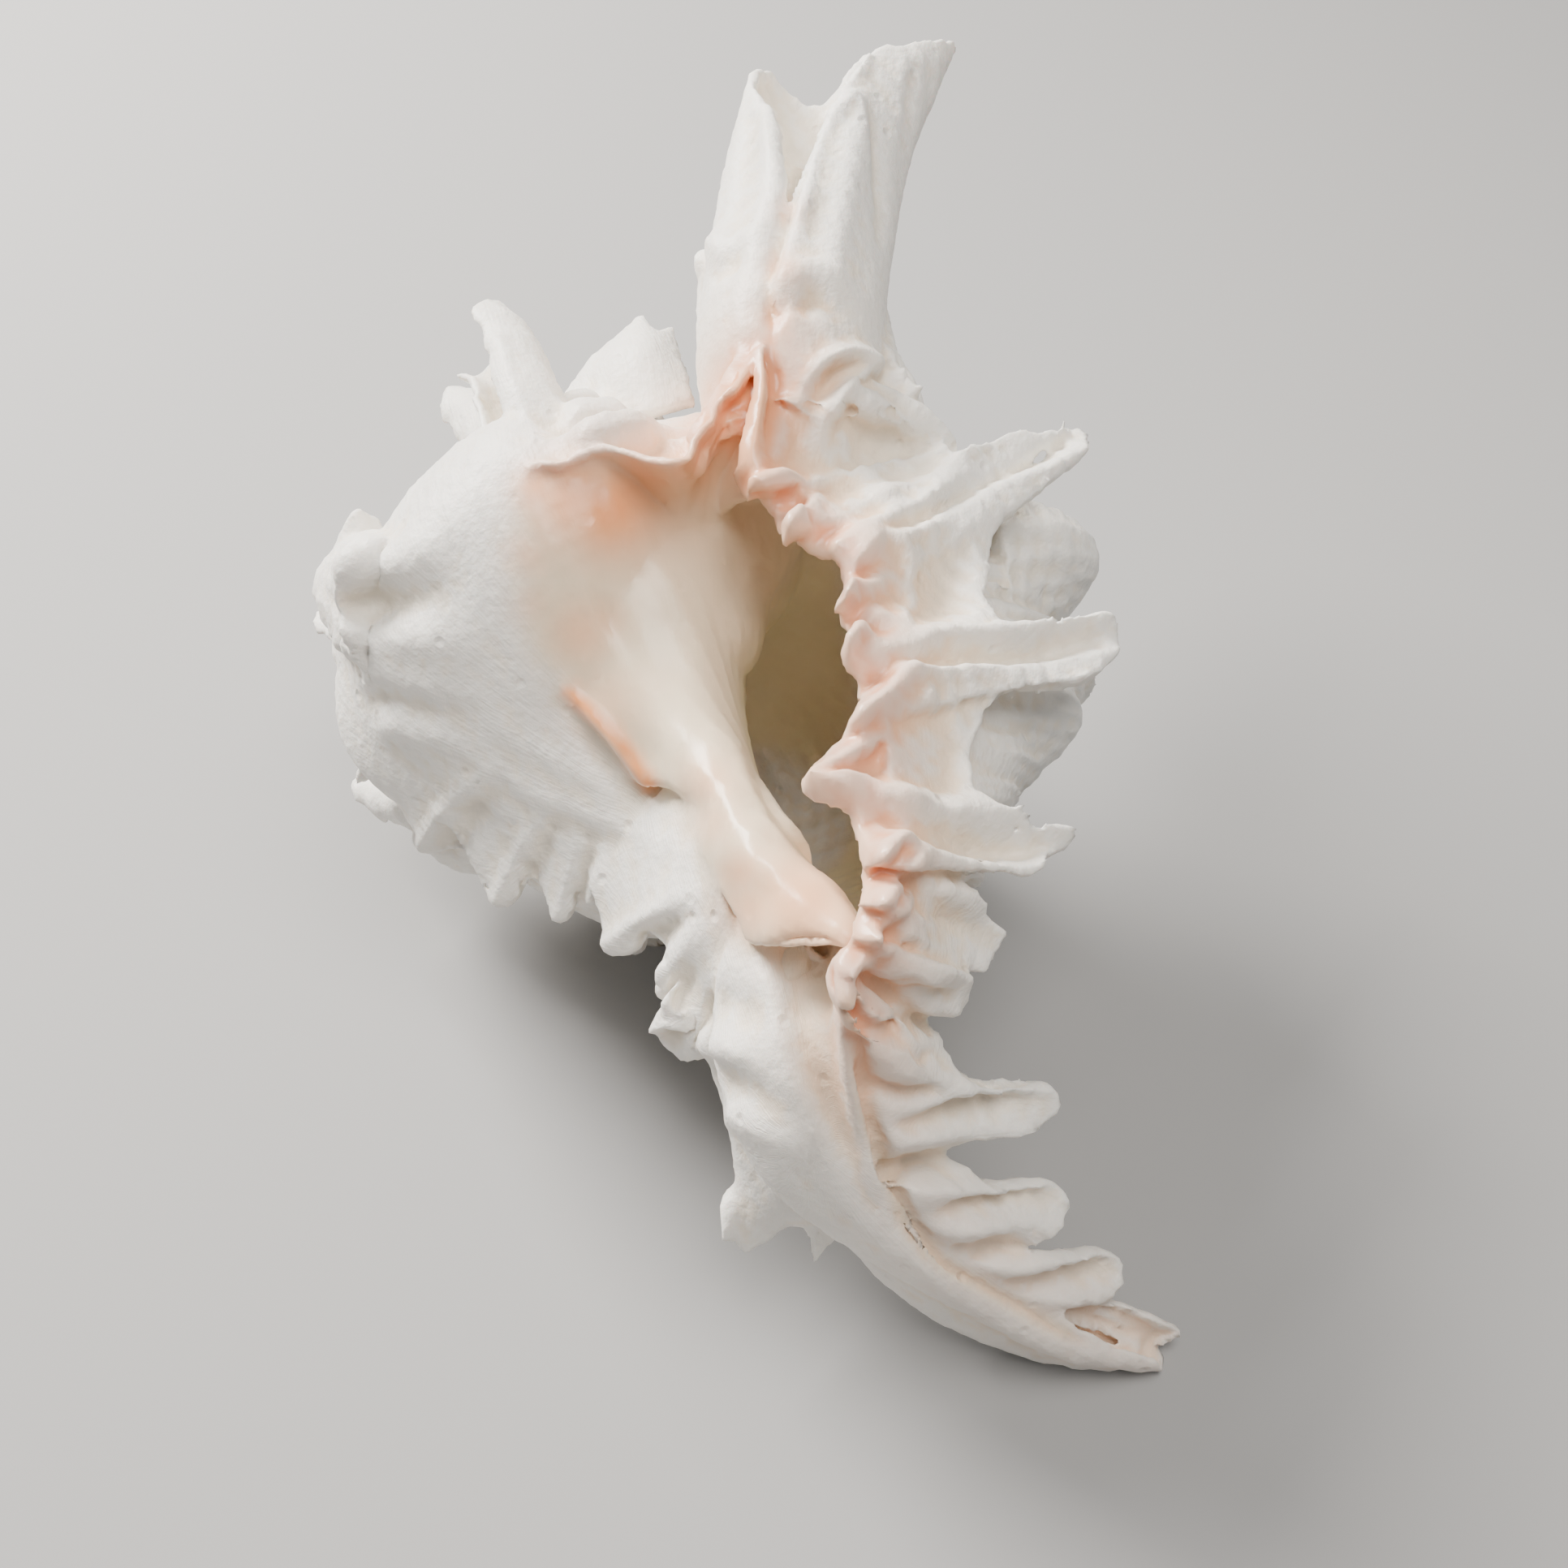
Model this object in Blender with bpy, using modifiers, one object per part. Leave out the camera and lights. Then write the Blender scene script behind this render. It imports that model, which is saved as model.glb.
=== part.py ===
# Murex shell lying on its back with the mouth upwards, built as one fused solid.
# Lengths below are in millimetres and are turned into metres when a mesh is made.
# The shell winds round an axis that points away from the viewer (+Y) and leans
# a little to the left. The tip of the siphonal canal is nearest the viewer.

import math

import bpy
import bmesh
import numpy as np

MM = 0.001
TURN = 2 * math.pi

# Spiral: each turn back from the lip is smaller by the widening factor.
AXIS_POINT = np.array([-24.0, 8.0, 58.0])
AXIS_DIRECTION = np.array([-0.29, 0.955, 0.04])
APEX_HEIGHT = 70.0
WIDENING = 1.9
LIP_ANGLE = math.radians(-30)
SPIRE_TURNS = 4.2

# Half outline of the last whorl at the lip, as distance from the axis and height
# along it, from the suture over the shoulder down to the neck of the canal.
WHORL_OUTLINE = [(25, 20), (40, 21), (54, 17), (63, 9), (67, -1), (68, -11), (65, -22),
                 (58, -33), (48, -43), (36, -53), (25, -62), (16, -69), (10, -74)]

WALL_THICKNESS = 3.4
FROND_THICKNESS = 2.8
LIP_THICKNESS = 3.2
CANAL_THICKNESS = 3.0

# Swellings of the whorl as shares of its radius, with their spread in degrees.
VARIX_SWELL, VARIX_SPREAD = 0.08, 8
KNOB_SWELL, KNOB_SPREAD = 0.17, 10
NECK_SWELL = 0.9

# Rows of knobs: share of the outline, its spread and the height against the first row.
KNOB_ROWS = [(0.29, 0.07, 1.0), (0.46, 0.05, 0.65)]

# Hollows of the older whorl beside the mouth: degrees back from the lip and their
# spread, share of the outline and its spread, depth as a share of the radius.
# The first is the ramp behind the edge of the mouth, the second the wall in front.
HOLLOWS = [(312, 26, 0.26, 0.15, 0.24), (322, 22, 0.62, 0.11, 0.12)]

# Grain of the fused solid and its triangle budget.
VOXEL = 1.5
TRIANGLES = 9300

# Moves the whole shell so that the middle of its footprint is the origin.
CENTRE_SHIFT = np.array([18.3, -19.3, 0.0])

# Edge of the mouth from the suture to the top of the canal:
# share of the whorl outline, then the point.
MOUTH_RIM = [(0.00, (-43, 22, 92)), (0.06, (-29, 23, 97)), (0.12, (-18, 18, 99)),
             (0.17, (-14, 28, 101)), (0.22, (-7, 38, 103)), (0.27, (-9, 23, 99)),
             (0.33, (-6, 13, 97)), (0.39, (1, 7, 95)), (0.46, (4, -2, 93)),
             (0.53, (5, -12, 92)), (0.60, (7, -23, 91)), (0.67, (3, -34, 90)),
             (0.75, (8, -43, 88)), (0.84, (8, -49, 84)), (0.92, (6, -54, 79)),
             (1.00, (4, -57, 74))]

# Where the last whorl leaves the spiral for the rim, in degrees back from the lip,
# and the way it comes away from the rim, both by share of the outline.
LEAVE_SPIRAL = [(0.0, -45), (0.1, -30), (0.2, 0), (0.3, 28), (0.45, 40), (0.8, 38), (1.0, 30)]
RIM_APPROACH = [(0.0, (0.3, 0.7, -0.1)), (0.15, (0.5, 0.6, -0.2)), (0.25, (0.8, 0.3, -0.4)),
                (0.35, (0.85, 0.05, -0.55)), (1.0, (0.8, 0.0, -0.5))]
CURVE_REACH = 0.34

# Pleats of the lip: how many, their depth at the inner and outer edge, and the teeth.
PLEATS, INNER_PLEAT, OUTER_PLEAT, TOOTH = 17, 1.5, 0.5, 1.3

# Broad folded lip: inner edge, middle and outer edge at stations down to the canal tip.
LIP_STATIONS = [((-7, 38, 103), (0, 33, 104), (8, 41, 100)),
                ((-9, 25, 100), (1, 24, 101), (14, 43, 97)),
                ((-6, 12, 97), (7, 20, 95), (22, 38, 92)),
                ((2, 7, 95), (14, 13, 92), (27, 27, 88)),
                ((4, -2, 93), (16, -3, 92), (29, 11, 84)),
                ((5, -14, 92), (16, -13, 89), (26, -6, 84)),
                ((7, -25, 91), (14, -28, 91), (22, -24, 82)),
                ((0, -34, 90), (11, -38, 90), (21, -30, 80)),
                ((9, -43, 88), (15, -43, 85), (21, -39, 76)),
                ((8, -49, 84), (13, -51, 84), (21, -47, 72)),
                ((6, -54, 79), (11, -59, 80), (19, -53, 68)),
                ((4, -57, 74), (10, -63, 74), (18, -58, 62)),
                ((6, -65, 66), (12, -69, 63), (19, -65, 54)),
                ((10, -71, 54), (16, -72, 52), (23, -70, 43)),
                ((16, -74, 38), (23, -75, 38), (32, -72, 28)),
                ((28, -75, 20), (36, -76, 22), (42, -74, 16)),
                ((41, -77, 10), (46, -78, 11), (51, -77, 8))]

# Thin upright edge of the mouth on the older whorl: crest and foot.
EDGE_CREST = [(-42, 18, 95), (-39, 18, 98), (-35, 17, 99), (-30, 19, 100), (-25, 16, 101),
              (-20, 13, 102), (-17, 16, 102), (-15, 20, 103), (-11, 26, 104), (-7, 36, 104)]
EDGE_FOOT = [(-41, 16, 84), (-37, 18, 83), (-33, 19, 82), (-27, 20, 82), (-22, 18, 82),
             (-18, 19, 82), (-15, 22, 84), (-13, 26, 86), (-9, 33, 90), (-6, 40, 94)]

# Hollow fronds: middle line, width along it, how far the channel wraps (degrees
# each side) and the way the channel opens.
FRONDS = {
    "shoulder_frond": ([(-3, 28, 91), (-2, 47, 95), (-1, 67, 98), (3, 95, 100), (9, 122, 101)],
                       [16, 26, 29, 31, 34], [130, 158, 160, 150, 118], (-0.45, -0.45, 0.6), 0.12),
    "shoulder_bump": ([(-12, 51, 93), (-14, 64, 95), (-17, 77, 96)],
                      [8, 8, 6], [110, 110, 90], (0.6, -0.1, -0.8), 0.2),
    "lip_frond_1": ([(7, 12, 90), (18, 17, 90), (30, 28, 89), (47, 45, 85)],
                    [11, 16, 17, 15], [60, 70, 72, 55], (0.0, -0.6, 0.8), 0.15),
    "lip_frond_2": ([(8, -14, 88), (18, -11, 88), (32, -5, 85), (49, 2, 81)],
                    [11, 16, 17, 15], [60, 70, 72, 55], (0.0, -0.45, 0.9), 0.15),
    "lip_frond_3": ([(8, -37, 85), (18, -37, 84), (27, -33, 79), (41, -29, 73)],
                    [10, 15, 15, 13], [60, 70, 72, 55], (0.0, -0.35, 0.9), 0.15),
    "lip_frond_4": ([(9, -50, 82), (15, -51, 80), (21, -48, 74), (27, -46, 68)],
                    [9, 11, 11, 9], [60, 70, 72, 55], (0.0, -0.3, 0.9), 0.15),
    "canal_fold": ([(9, -57, 76), (13, -60, 74), (19, -58, 66)],
                   [8, 11, 10], [90, 100, 90], (0.2, -0.2, 0.9), 0.2),
    "canal_frond_1": ([(8, -66, 58), (16, -66, 57), (25, -63, 54), (37, -60, 50)],
                      [9, 13, 12, 10], [60, 75, 75, 55], (0.0, -0.3, 0.9), 0.15),
    "canal_frond_2": ([(14, -70, 50), (22, -72, 48), (30, -71, 42), (39, -70, 36)],
                      [9, 13, 13, 10], [60, 75, 75, 55], (-0.2, -0.3, 0.9), 0.15),
    "canal_frond_3": ([(23, -72, 34), (31, -75, 34), (38, -75, 28), (48, -75, 22)],
                      [9, 13, 13, 10], [60, 75, 75, 55], (-0.2, -0.3, 0.9), 0.15),
    "spire_frond_left": ([(-42, 33, 88), (-46, 42, 90), (-51, 55, 90), (-56, 69, 88)],
                         [14, 13, 12, 11], [150, 150, 150, 110], (-0.8, -0.4, 0.4), 0.2),
    "spire_frond_back": ([(-48, 47, 76), (-55, 56, 74), (-63, 64, 72)],
                         [15, 13, 9], [120, 120, 100], (-0.4, -0.5, -0.6), 0.25),
    "spire_frond_top": ([(-31, 46, 84), (-30, 58, 86), (-29, 75, 84)],
                        [22, 20, 8], [90, 90, 80], (0.3, 0.6, 0.5), 0.25),
    "left_fold": ([(-60, 19, 66), (-70, 27, 62), (-80, 36, 57)],
                  [20, 18, 10], [110, 110, 90], (0.1, -0.2, -1.0), 0.2),
    "left_frond": ([(-69, 31, 46), (-80, 41, 38), (-91, 49, 33)],
                   [10, 9, 7], [110, 110, 90], (-0.3, -0.5, -1.0), 0.2),
    "left_hook": ([(-58, 3, 40), (-69, 8, 32), (-79, 15, 27)],
                  [11, 9, 6], [110, 110, 90], (-0.3, 0.5, -1.0), 0.2),
    "canal_stub_1": ([(-3, -60, 36), (-8, -66, 27), (-10, -71, 18)],
                     [18, 16, 12], [100, 100, 80], (-0.4, -0.5, -0.6), 0.2),
    "canal_stub_2": ([(2, -60, 34), (1, -66, 27), (0, -70, 20)],
                     [12, 10, 7], [100, 100, 80], (0.1, -0.5, -0.6), 0.2),
}

# Open siphonal canal, drawn like a frond that stays nearly closed.
CANAL = ([(-2, -37, 60), (-2, -52, 53), (1, -63, 45), (9, -70, 34), (24, -74, 20),
          (40, -77, 10), (56, -77, 1.5)],
         [24, 28, 27, 23, 18, 12, 7], [125, 150, 165, 165, 160, 150, 120],
         (0.7, 0.1, 0.7), 0.05)

# Old lips on the spiral: degrees back from the lip, slant in degrees over the
# whole outline, places along the outline and frond lengths.
VARICES = [(78, 86, [0.15, 0.27, 0.38, 0.49, 0.6, 0.71], [32, 18, 13, 15, 13, 9]),
           (222, -50, [0.16, 0.28, 0.39, 0.5, 0.6, 0.7, 0.8], [20, 15, 14, 16, 16, 15, 13]),
           (365, 0, [0.14, 0.26], [22, 14]),
           (485, 0, [0.14, 0.26], [22, 14]),
           (605, 0, [0.14, 0.26], [20, 14]),
           (725, 0, [0.16], [18]),
           (845, 0, [0.16], [16])]
KNOB_PLACES = (38, 168, 300, 420, 540, 660, 780)

# Columella: right of the axis, behind it, height along it, and radius.
PILLAR = [(0, 0, 50, 20), (0, 0, 15, 14), (2, -4, -6, 11), (4, -8, -22, 9.5),
          (6, -11, -34, 9), (9, -10, -42, 6.5), (9, -5, -47, 3)]

# Glossy edge of the pillar that overhangs the start of the canal.
CALLUS_ROWS = [[(-22, -18, 66), (-13, -25, 72), (-4, -36, 77), (5, -47, 80)],
               [(-17, -28, 64), (-8, -36, 71), (0, -44, 77), (6, -50, 79)],
               [(-10, -38, 60), (-3, -46, 68), (3, -50, 73), (6, -52, 76)]]

# Fan left by the canal of the older lip: line on the whorl, knee, and scalloped rim.
FAN_ROWS = [[(-45, -11, 55), (-37, -14, 58), (-30, -14, 62), (-24, -14, 66), (-18, -13, 68),
             (-14, -14, 68)],
            [(-36, -27, 57), (-27, -31, 62), (-22, -30, 66), (-17, -30, 69), (-14, -34, 70),
             (-12, -39, 69), (-9, -43, 66), (-6, -43, 58)],
            [(-38, -27, 50), (-30, -28, 54), (-32, -31, 47), (-28, -32, 44), (-23, -34, 50),
             (-24, -38, 46), (-21, -38, 42), (-19, -41, 47), (-24, -44, 40), (-20, -45, 36),
             (-16, -44, 43), (-11, -44, 38), (-8, -41, 45)]]

SHELL_COLOUR = (0.83, 0.79, 0.72, 1.0)


def unit(vectors):
    return vectors / np.maximum(np.linalg.norm(vectors, axis=-1, keepdims=True), 1e-9)


along_axis = unit(AXIS_DIRECTION)
to_back = unit(np.array([0.0, 0.0, -1.0]) + along_axis * along_axis[2])
to_right = np.cross(to_back, along_axis)


def smooth_line(points, count):
    # Catmull-Rom curve through the points, even in its parameter.
    knots = np.asarray(points, float)
    knots = np.vstack([2 * knots[0] - knots[1], knots, 2 * knots[-1] - knots[-2]])
    along = np.linspace(0, len(knots) - 3 - 1e-9, count)
    first = along.astype(int)
    t = (along - first)[:, None]
    a, b, c, d = (knots[first + i] for i in range(4))
    return 0.5 * (2 * b + (c - a) * t + (2 * a - 5 * b + 4 * c - d) * t ** 2
                  + (3 * b - a - 3 * c + d) * t ** 3)


def spread(values, at):
    # Evenly spaced values read at shares from 0 to 1.
    return np.interp(at, np.linspace(0, 1, len(values)), values)


def read(table, at):
    # Rows of (share, value or point) read at the given shares.
    values = np.array([row[1] for row in table], float).reshape(len(table), -1)
    keys = [row[0] for row in table]
    return np.stack([np.interp(at, keys, column) for column in values.T], -1)


def step(values, low, high):
    # Goes smoothly from 0 below low to 1 above high.
    t = np.clip((values - low) / (high - low), 0, 1)
    return t * t * (3 - 2 * t)


def swell(back, share):
    # Extra radius of the varices (ridges) and of the knobs between them.
    degrees = np.degrees(back)
    ridge = sum(np.exp(-((degrees - v[0] - v[1] * share) / VARIX_SPREAD) ** 2) for v in VARICES)
    ridge = ridge * np.exp(-((share - 0.42) / 0.28) ** 2)
    knob = sum(np.exp(-((degrees - place) / KNOB_SPREAD) ** 4) for place in KNOB_PLACES)
    knob = knob * sum(height * np.exp(-((share - place) / width) ** 4)
                      for place, width, height in KNOB_ROWS)
    neck = step(share, 0.68, 1.0) * step(degrees, 250, 310)
    hollow = sum(depth * np.exp(-((degrees - turned) / reach) ** 4)
                 * np.exp(-((share - place) / width) ** 4)
                 for turned, reach, place, width, depth in HOLLOWS)
    return 1 + VARIX_SWELL * ridge + KNOB_SWELL * knob + NECK_SWELL * neck - hollow


def whorl(back, share):
    # Point on the outside of the shell: angle back from the lip, share of the outline.
    outline = smooth_line(WHORL_OUTLINE, 200)
    scale = WIDENING ** (-back / TURN)
    radius = scale * spread(outline[:, 0], share) * swell(back, share)
    height = APEX_HEIGHT - scale * (APEX_HEIGHT - spread(outline[:, 1], share))
    angle = LIP_ANGLE + back
    return (AXIS_POINT + (radius * np.cos(angle))[..., None] * to_right
            + (radius * np.sin(angle))[..., None] * to_back + height[..., None] * along_axis)


def make_object(name, corners, faces):
    mesh = bpy.data.meshes.new(name)
    mesh.from_pydata([tuple(p) for p in np.asarray(corners) * MM], [], faces)
    mesh.update()
    made = bpy.data.objects.new(name, mesh)
    pieces.objects.link(made)
    return made


def grid_faces(rows, columns, wrap=False):
    last = columns if wrap else columns - 1
    return [(i * columns + j, i * columns + (j + 1) % columns,
             (i + 1) * columns + (j + 1) % columns, (i + 1) * columns + j)
            for i in range(rows - 1) for j in range(last)]


def sheet(name, grid, thickness, outward):
    # Open lofted surface given a wall on its inner side by Solidify.
    rows, columns, _ = grid.shape
    normals = np.cross(np.gradient(grid, axis=0), np.gradient(grid, axis=1))
    faces = grid_faces(rows, columns)
    if np.median((normals * outward).sum(-1)) < 0:
        faces = [face[::-1] for face in faces]
    made = make_object(name, grid.reshape(-1, 3), faces)
    solidify = made.modifiers.new("wall", "SOLIDIFY")
    solidify.thickness = thickness * MM
    solidify.offset = 1.0
    return made


def whorl_core():
    # Older whorls as one solid: full sections from the outline to the axis.
    turns = np.radians(np.arange(268, 360 * SPIRE_TURNS, 4.0))
    shares = np.linspace(0, 1, 40)
    rings = whorl(turns[:, None] + 0 * shares, shares + 0 * turns[:, None])
    foot = AXIS_POINT + ((rings - AXIS_POINT) @ along_axis)[..., None] * along_axis
    rings = np.concatenate([rings, foot[:, -1:], foot[:, :1]], axis=1)
    count, around, _ = rings.shape
    faces = grid_faces(count, around, wrap=True)
    faces.append(tuple(range(around))[::-1])
    faces.append(tuple((count - 1) * around + j for j in range(around)))
    return make_object("whorl_core", rings.reshape(-1, 3), faces)


def last_whorl():
    # Wall of the last whorl. Near the lip it leaves the spiral along a smooth
    # curve that ends on the rim of the mouth.
    shares = np.linspace(0, 1, 56)
    leave = np.radians(read(LEAVE_SPIRAL, shares)[:, 0])
    run = np.linspace(0, 1, 60)[:, None]
    back = leave * (1 - run) + math.radians(285) * run
    wound = whorl(back, shares + 0 * run)
    start = wound[0]
    heading = unit(wound[0] - wound[1])
    rim = read(MOUTH_RIM, shares)
    approach = unit(read(RIM_APPROACH, shares))
    reach = CURVE_REACH * np.linalg.norm(rim - start, axis=1)[:, None]
    t = np.linspace(0, 1, 26)[:-1][:, None, None]
    front = ((1 - t) ** 3 * rim + 3 * (1 - t) ** 2 * t * (rim + approach * reach)
             + 3 * (1 - t) * t ** 2 * (start + heading * reach) + t ** 3 * start)
    grid = np.concatenate([front, wound])
    axis_foot = AXIS_POINT + ((grid - AXIS_POINT) @ along_axis)[..., None] * along_axis
    return sheet("last_whorl", grid, WALL_THICKNESS, grid - axis_foot)


def lip():
    # Broad lip with pleats that run from the toothed inner edge to the outer edge.
    inner, middle, outer = (smooth_line([s[i] for s in LIP_STATIONS], 150) for i in range(3))
    across = np.linspace(0, 1, 16)[None, :, None]
    grid = ((1 - across) * (1 - 2 * across) * inner[:, None]
            + 4 * across * (1 - across) * middle[:, None]
            + across * (2 * across - 1) * outer[:, None])
    normals = unit(np.cross(np.gradient(grid, axis=0), np.gradient(grid, axis=1)))
    normals *= np.sign(normals[..., 2:3])
    down = np.linspace(0, 1, 150)[:, None]
    phase = PLEATS * TURN * down + 2 * np.sin(9 * down)
    depth = INNER_PLEAT * (1 - across[..., 0]) ** 1.5 + OUTER_PLEAT * across[..., 0]
    grid = grid + normals * (depth * np.sin(phase))[..., None]
    teeth = TOOTH * np.sin(phase + 0.6) * (1 - across[..., 0]) ** 2
    grid = grid - unit(outer - inner)[:, None] * teeth[..., None]
    return sheet("lip", grid, LIP_THICKNESS, normals)


def mouth_edge():
    # Thin wavy edge that stands up on the older whorl and ends the mouth there.
    crest, foot = smooth_line(EDGE_CREST, 60), smooth_line(EDGE_FOOT, 60)
    down = np.linspace(0, 1, 10)[None, :, None]
    hollow = np.array([0.0, 3.0, -1.0]) * np.sin(math.pi * down)
    grid = (1 - down) * crest[:, None] + down * foot[:, None] + hollow
    forward = np.zeros_like(grid)
    forward[..., 1] = -1
    return sheet("mouth_edge", grid, FROND_THICKNESS, forward)


def frond(name, line, widths, wraps, opening, cut, thickness=FROND_THICKNESS):
    # Channel with a round back whose edges are ruffled and whose end is blunt.
    rows, columns = 30, 18
    middle = smooth_line(line, rows)
    along = np.linspace(0, 1, rows)
    radius = spread(widths, along) / 2
    wrap = np.radians(spread(wraps, along))
    heading = unit(np.gradient(middle, axis=0))
    opening = np.asarray(opening, float)
    facing = unit(opening - (heading @ opening)[:, None] * heading)
    side = np.cross(heading, facing)
    across = np.linspace(-1, 1, columns)
    ruffling = 0.08 if wrap.max() < 2 else 0.03
    reach = along[:, None] * (1 - cut * np.abs(across) ** 2.2)
    ruffle = 1 + ruffling * np.sin(19 * reach + 3 * across) * np.abs(across) ** 3
    angle = spread(wrap, reach) * across * ruffle
    r = spread(radius, reach)

    def at(values):
        return np.stack([spread(values[:, i], reach) for i in range(3)], -1)

    centre, facing, side = at(middle), at(facing), at(side)
    grid = centre + (r * np.sin(angle))[..., None] * side - (r * np.cos(angle))[..., None] * facing
    return sheet(name, grid, thickness, grid - centre)


def varix_fronds(degrees, slant, shares, lengths):
    # Short fronds of an older lip stand on the whorl and lean back from it.
    for number, (share, length) in enumerate(zip(shares, lengths)):
        back = math.radians(degrees + slant * share)
        scale = WIDENING ** (-back / TURN)
        near = whorl(np.array([back, back + 0.03, back, back]),
                     np.array([share, share, share + 0.02, share - 0.02]))
        backward = unit(near[1] - near[0])
        normal = unit(np.cross(near[2] - near[3], backward))
        foot = AXIS_POINT + ((near[0] - AXIS_POINT) @ along_axis) * along_axis
        normal *= np.sign(normal @ (near[0] - foot))
        size = length * scale
        line = [near[0] - normal * 3, near[0] + normal * size * 0.45,
                near[0] + normal * size * 0.8 + backward * size * 0.3,
                near[0] + normal * size * 0.95 + backward * size * 0.6]
        width = scale * (0.7 + 0.5 * min(size / 12, 1.5))
        frond("varix_%d_%d" % (degrees, number), line,
              [12 * width, 11 * width, 10 * width, 7 * width],
              [70, 80, 85, 70], normal * 0.2 - backward, 0.25)


def pillar():
    # Columella: a rod round the axis that ends under the glossy edge.
    curve = bpy.data.curves.new("pillar", "CURVE")
    curve.dimensions = "3D"
    curve.bevel_depth = MM
    curve.bevel_resolution = 6
    curve.resolution_u = 8
    curve.use_fill_caps = True
    line = curve.splines.new("BEZIER")
    line.bezier_points.add(len(PILLAR) - 1)
    for knot, (x, y, z, radius) in zip(line.bezier_points, PILLAR):
        knot.co = (AXIS_POINT + x * to_right + y * to_back + z * along_axis) * MM
        knot.radius = radius
        knot.handle_left_type = knot.handle_right_type = "AUTO"
    made = bpy.data.objects.new("pillar", curve)
    pieces.objects.link(made)
    return made


def callus():
    rows = np.array([smooth_line(row, 14) for row in CALLUS_ROWS])
    grid = np.stack([smooth_line(rows[:, j], 10) for j in range(14)], 1)
    up = np.zeros_like(grid)
    up[..., 2] = 1
    return sheet("callus", grid, FROND_THICKNESS, up)


def old_canal_fan():
    # The whorl runs on over the fan and ends in three short channels.
    rows = np.array([smooth_line(row, 40) for row in FAN_ROWS])
    grid = np.stack([smooth_line(rows[:, j], 20) for j in range(rows.shape[1])], 1)
    return sheet("old_canal_fan", grid, FROND_THICKNESS, np.array([-0.2, -0.3, 1.0]))


def fuse(name, objects, collection):
    # The overlapping bodies are gathered in one mesh and melted into one skin.
    graph = bpy.context.evaluated_depsgraph_get()
    gathered = bmesh.new()
    for item in objects:
        mesh = bpy.data.meshes.new_from_object(item.evaluated_get(graph))
        part = bmesh.new()
        part.from_mesh(mesh)
        bmesh.ops.remove_doubles(part, verts=part.verts, dist=1e-6)
        part.to_mesh(mesh)
        part.free()
        mesh.transform(item.matrix_world)
        gathered.from_mesh(mesh)
        bpy.data.meshes.remove(mesh)
    merged = bpy.data.meshes.new(name)
    gathered.to_mesh(merged)
    gathered.free()
    for item in list(objects):
        bpy.data.objects.remove(item)
    shell = bpy.data.objects.new(name, merged)
    collection.objects.link(shell)
    skin = shell.modifiers.new("skin", "REMESH")
    skin.mode = "VOXEL"
    skin.voxel_size = VOXEL * MM
    bpy.context.view_layer.update()
    graph = bpy.context.evaluated_depsgraph_get()
    full = shell.evaluated_get(graph).to_mesh()
    full.calc_loop_triangles()
    count = len(full.loop_triangles)
    thin = shell.modifiers.new("facets", "DECIMATE")
    thin.decimate_type = "COLLAPSE"
    thin.ratio = TRIANGLES / count
    thin.use_collapse_triangulate = True
    return shell


def keep_largest_body(item):
    # The flat cut can leave loose flakes, so only the largest connected body stays.
    bpy.context.view_layer.update()
    graph = bpy.context.evaluated_depsgraph_get()
    mesh = bpy.data.meshes.new_from_object(item.evaluated_get(graph))
    body = bmesh.new()
    body.from_mesh(mesh)
    left = set(body.verts)
    largest = set()
    while left:
        front = [left.pop()]
        island = set(front)
        while front:
            for edge in front.pop().link_edges:
                for corner in edge.verts:
                    if corner in left:
                        left.remove(corner)
                        island.add(corner)
                        front.append(corner)
        if len(island) > len(largest):
            largest = island
    bmesh.ops.delete(body, geom=[v for v in body.verts if v not in largest], context="VERTS")
    bmesh.ops.triangulate(body, faces=body.faces)
    body.to_mesh(mesh)
    body.free()
    item.modifiers.clear()
    item.data = mesh


for item in list(bpy.data.objects):
    bpy.data.objects.remove(item)

shell_collection = bpy.data.collections.new("murex_shell")
cutter_collection = bpy.data.collections.new("cutters")
pieces = bpy.data.collections.new("pieces")
for group in (shell_collection, cutter_collection, pieces):
    bpy.context.scene.collection.children.link(group)

whorl_core()
last_whorl()
lip()
mouth_edge()
for frond_name, sizes in FRONDS.items():
    frond(frond_name, *sizes)
frond("canal", *CANAL, thickness=CANAL_THICKNESS)
for varix in VARICES:
    varix_fronds(*varix)
pillar()
callus()
old_canal_fan()
bpy.context.view_layer.update()

shell = fuse("shell", list(pieces.objects), shell_collection)
bpy.data.collections.remove(pieces)
for corner in shell.data.vertices:
    corner.co = [corner.co[i] + CENTRE_SHIFT[i] * MM for i in range(3)]

# The points that touch the ground are worn flat.
bpy.ops.mesh.primitive_cube_add(size=1, location=(0, 0, -0.05))
ground = bpy.context.active_object
ground.name = "ground"
ground.scale = (0.5, 0.5, 0.1)
bpy.ops.object.transform_apply(location=True, rotation=False, scale=True)
for group in list(ground.users_collection):
    group.objects.unlink(ground)
cutter_collection.objects.link(ground)
ground.hide_render = True
ground.display_type = "WIRE"
wear = shell.modifiers.new("wear", "BOOLEAN")
wear.operation = "DIFFERENCE"
wear.solver = "EXACT"
wear.object = ground
keep_largest_body(shell)

material = bpy.data.materials.new("shell")
material.use_nodes = True
surface = material.node_tree.nodes["Principled BSDF"]
surface.inputs["Base Color"].default_value = SHELL_COLOUR
surface.inputs["Roughness"].default_value = 0.42
surface.inputs["Metallic"].default_value = 0.0
shell.data.materials.append(material)
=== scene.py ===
import math

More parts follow.
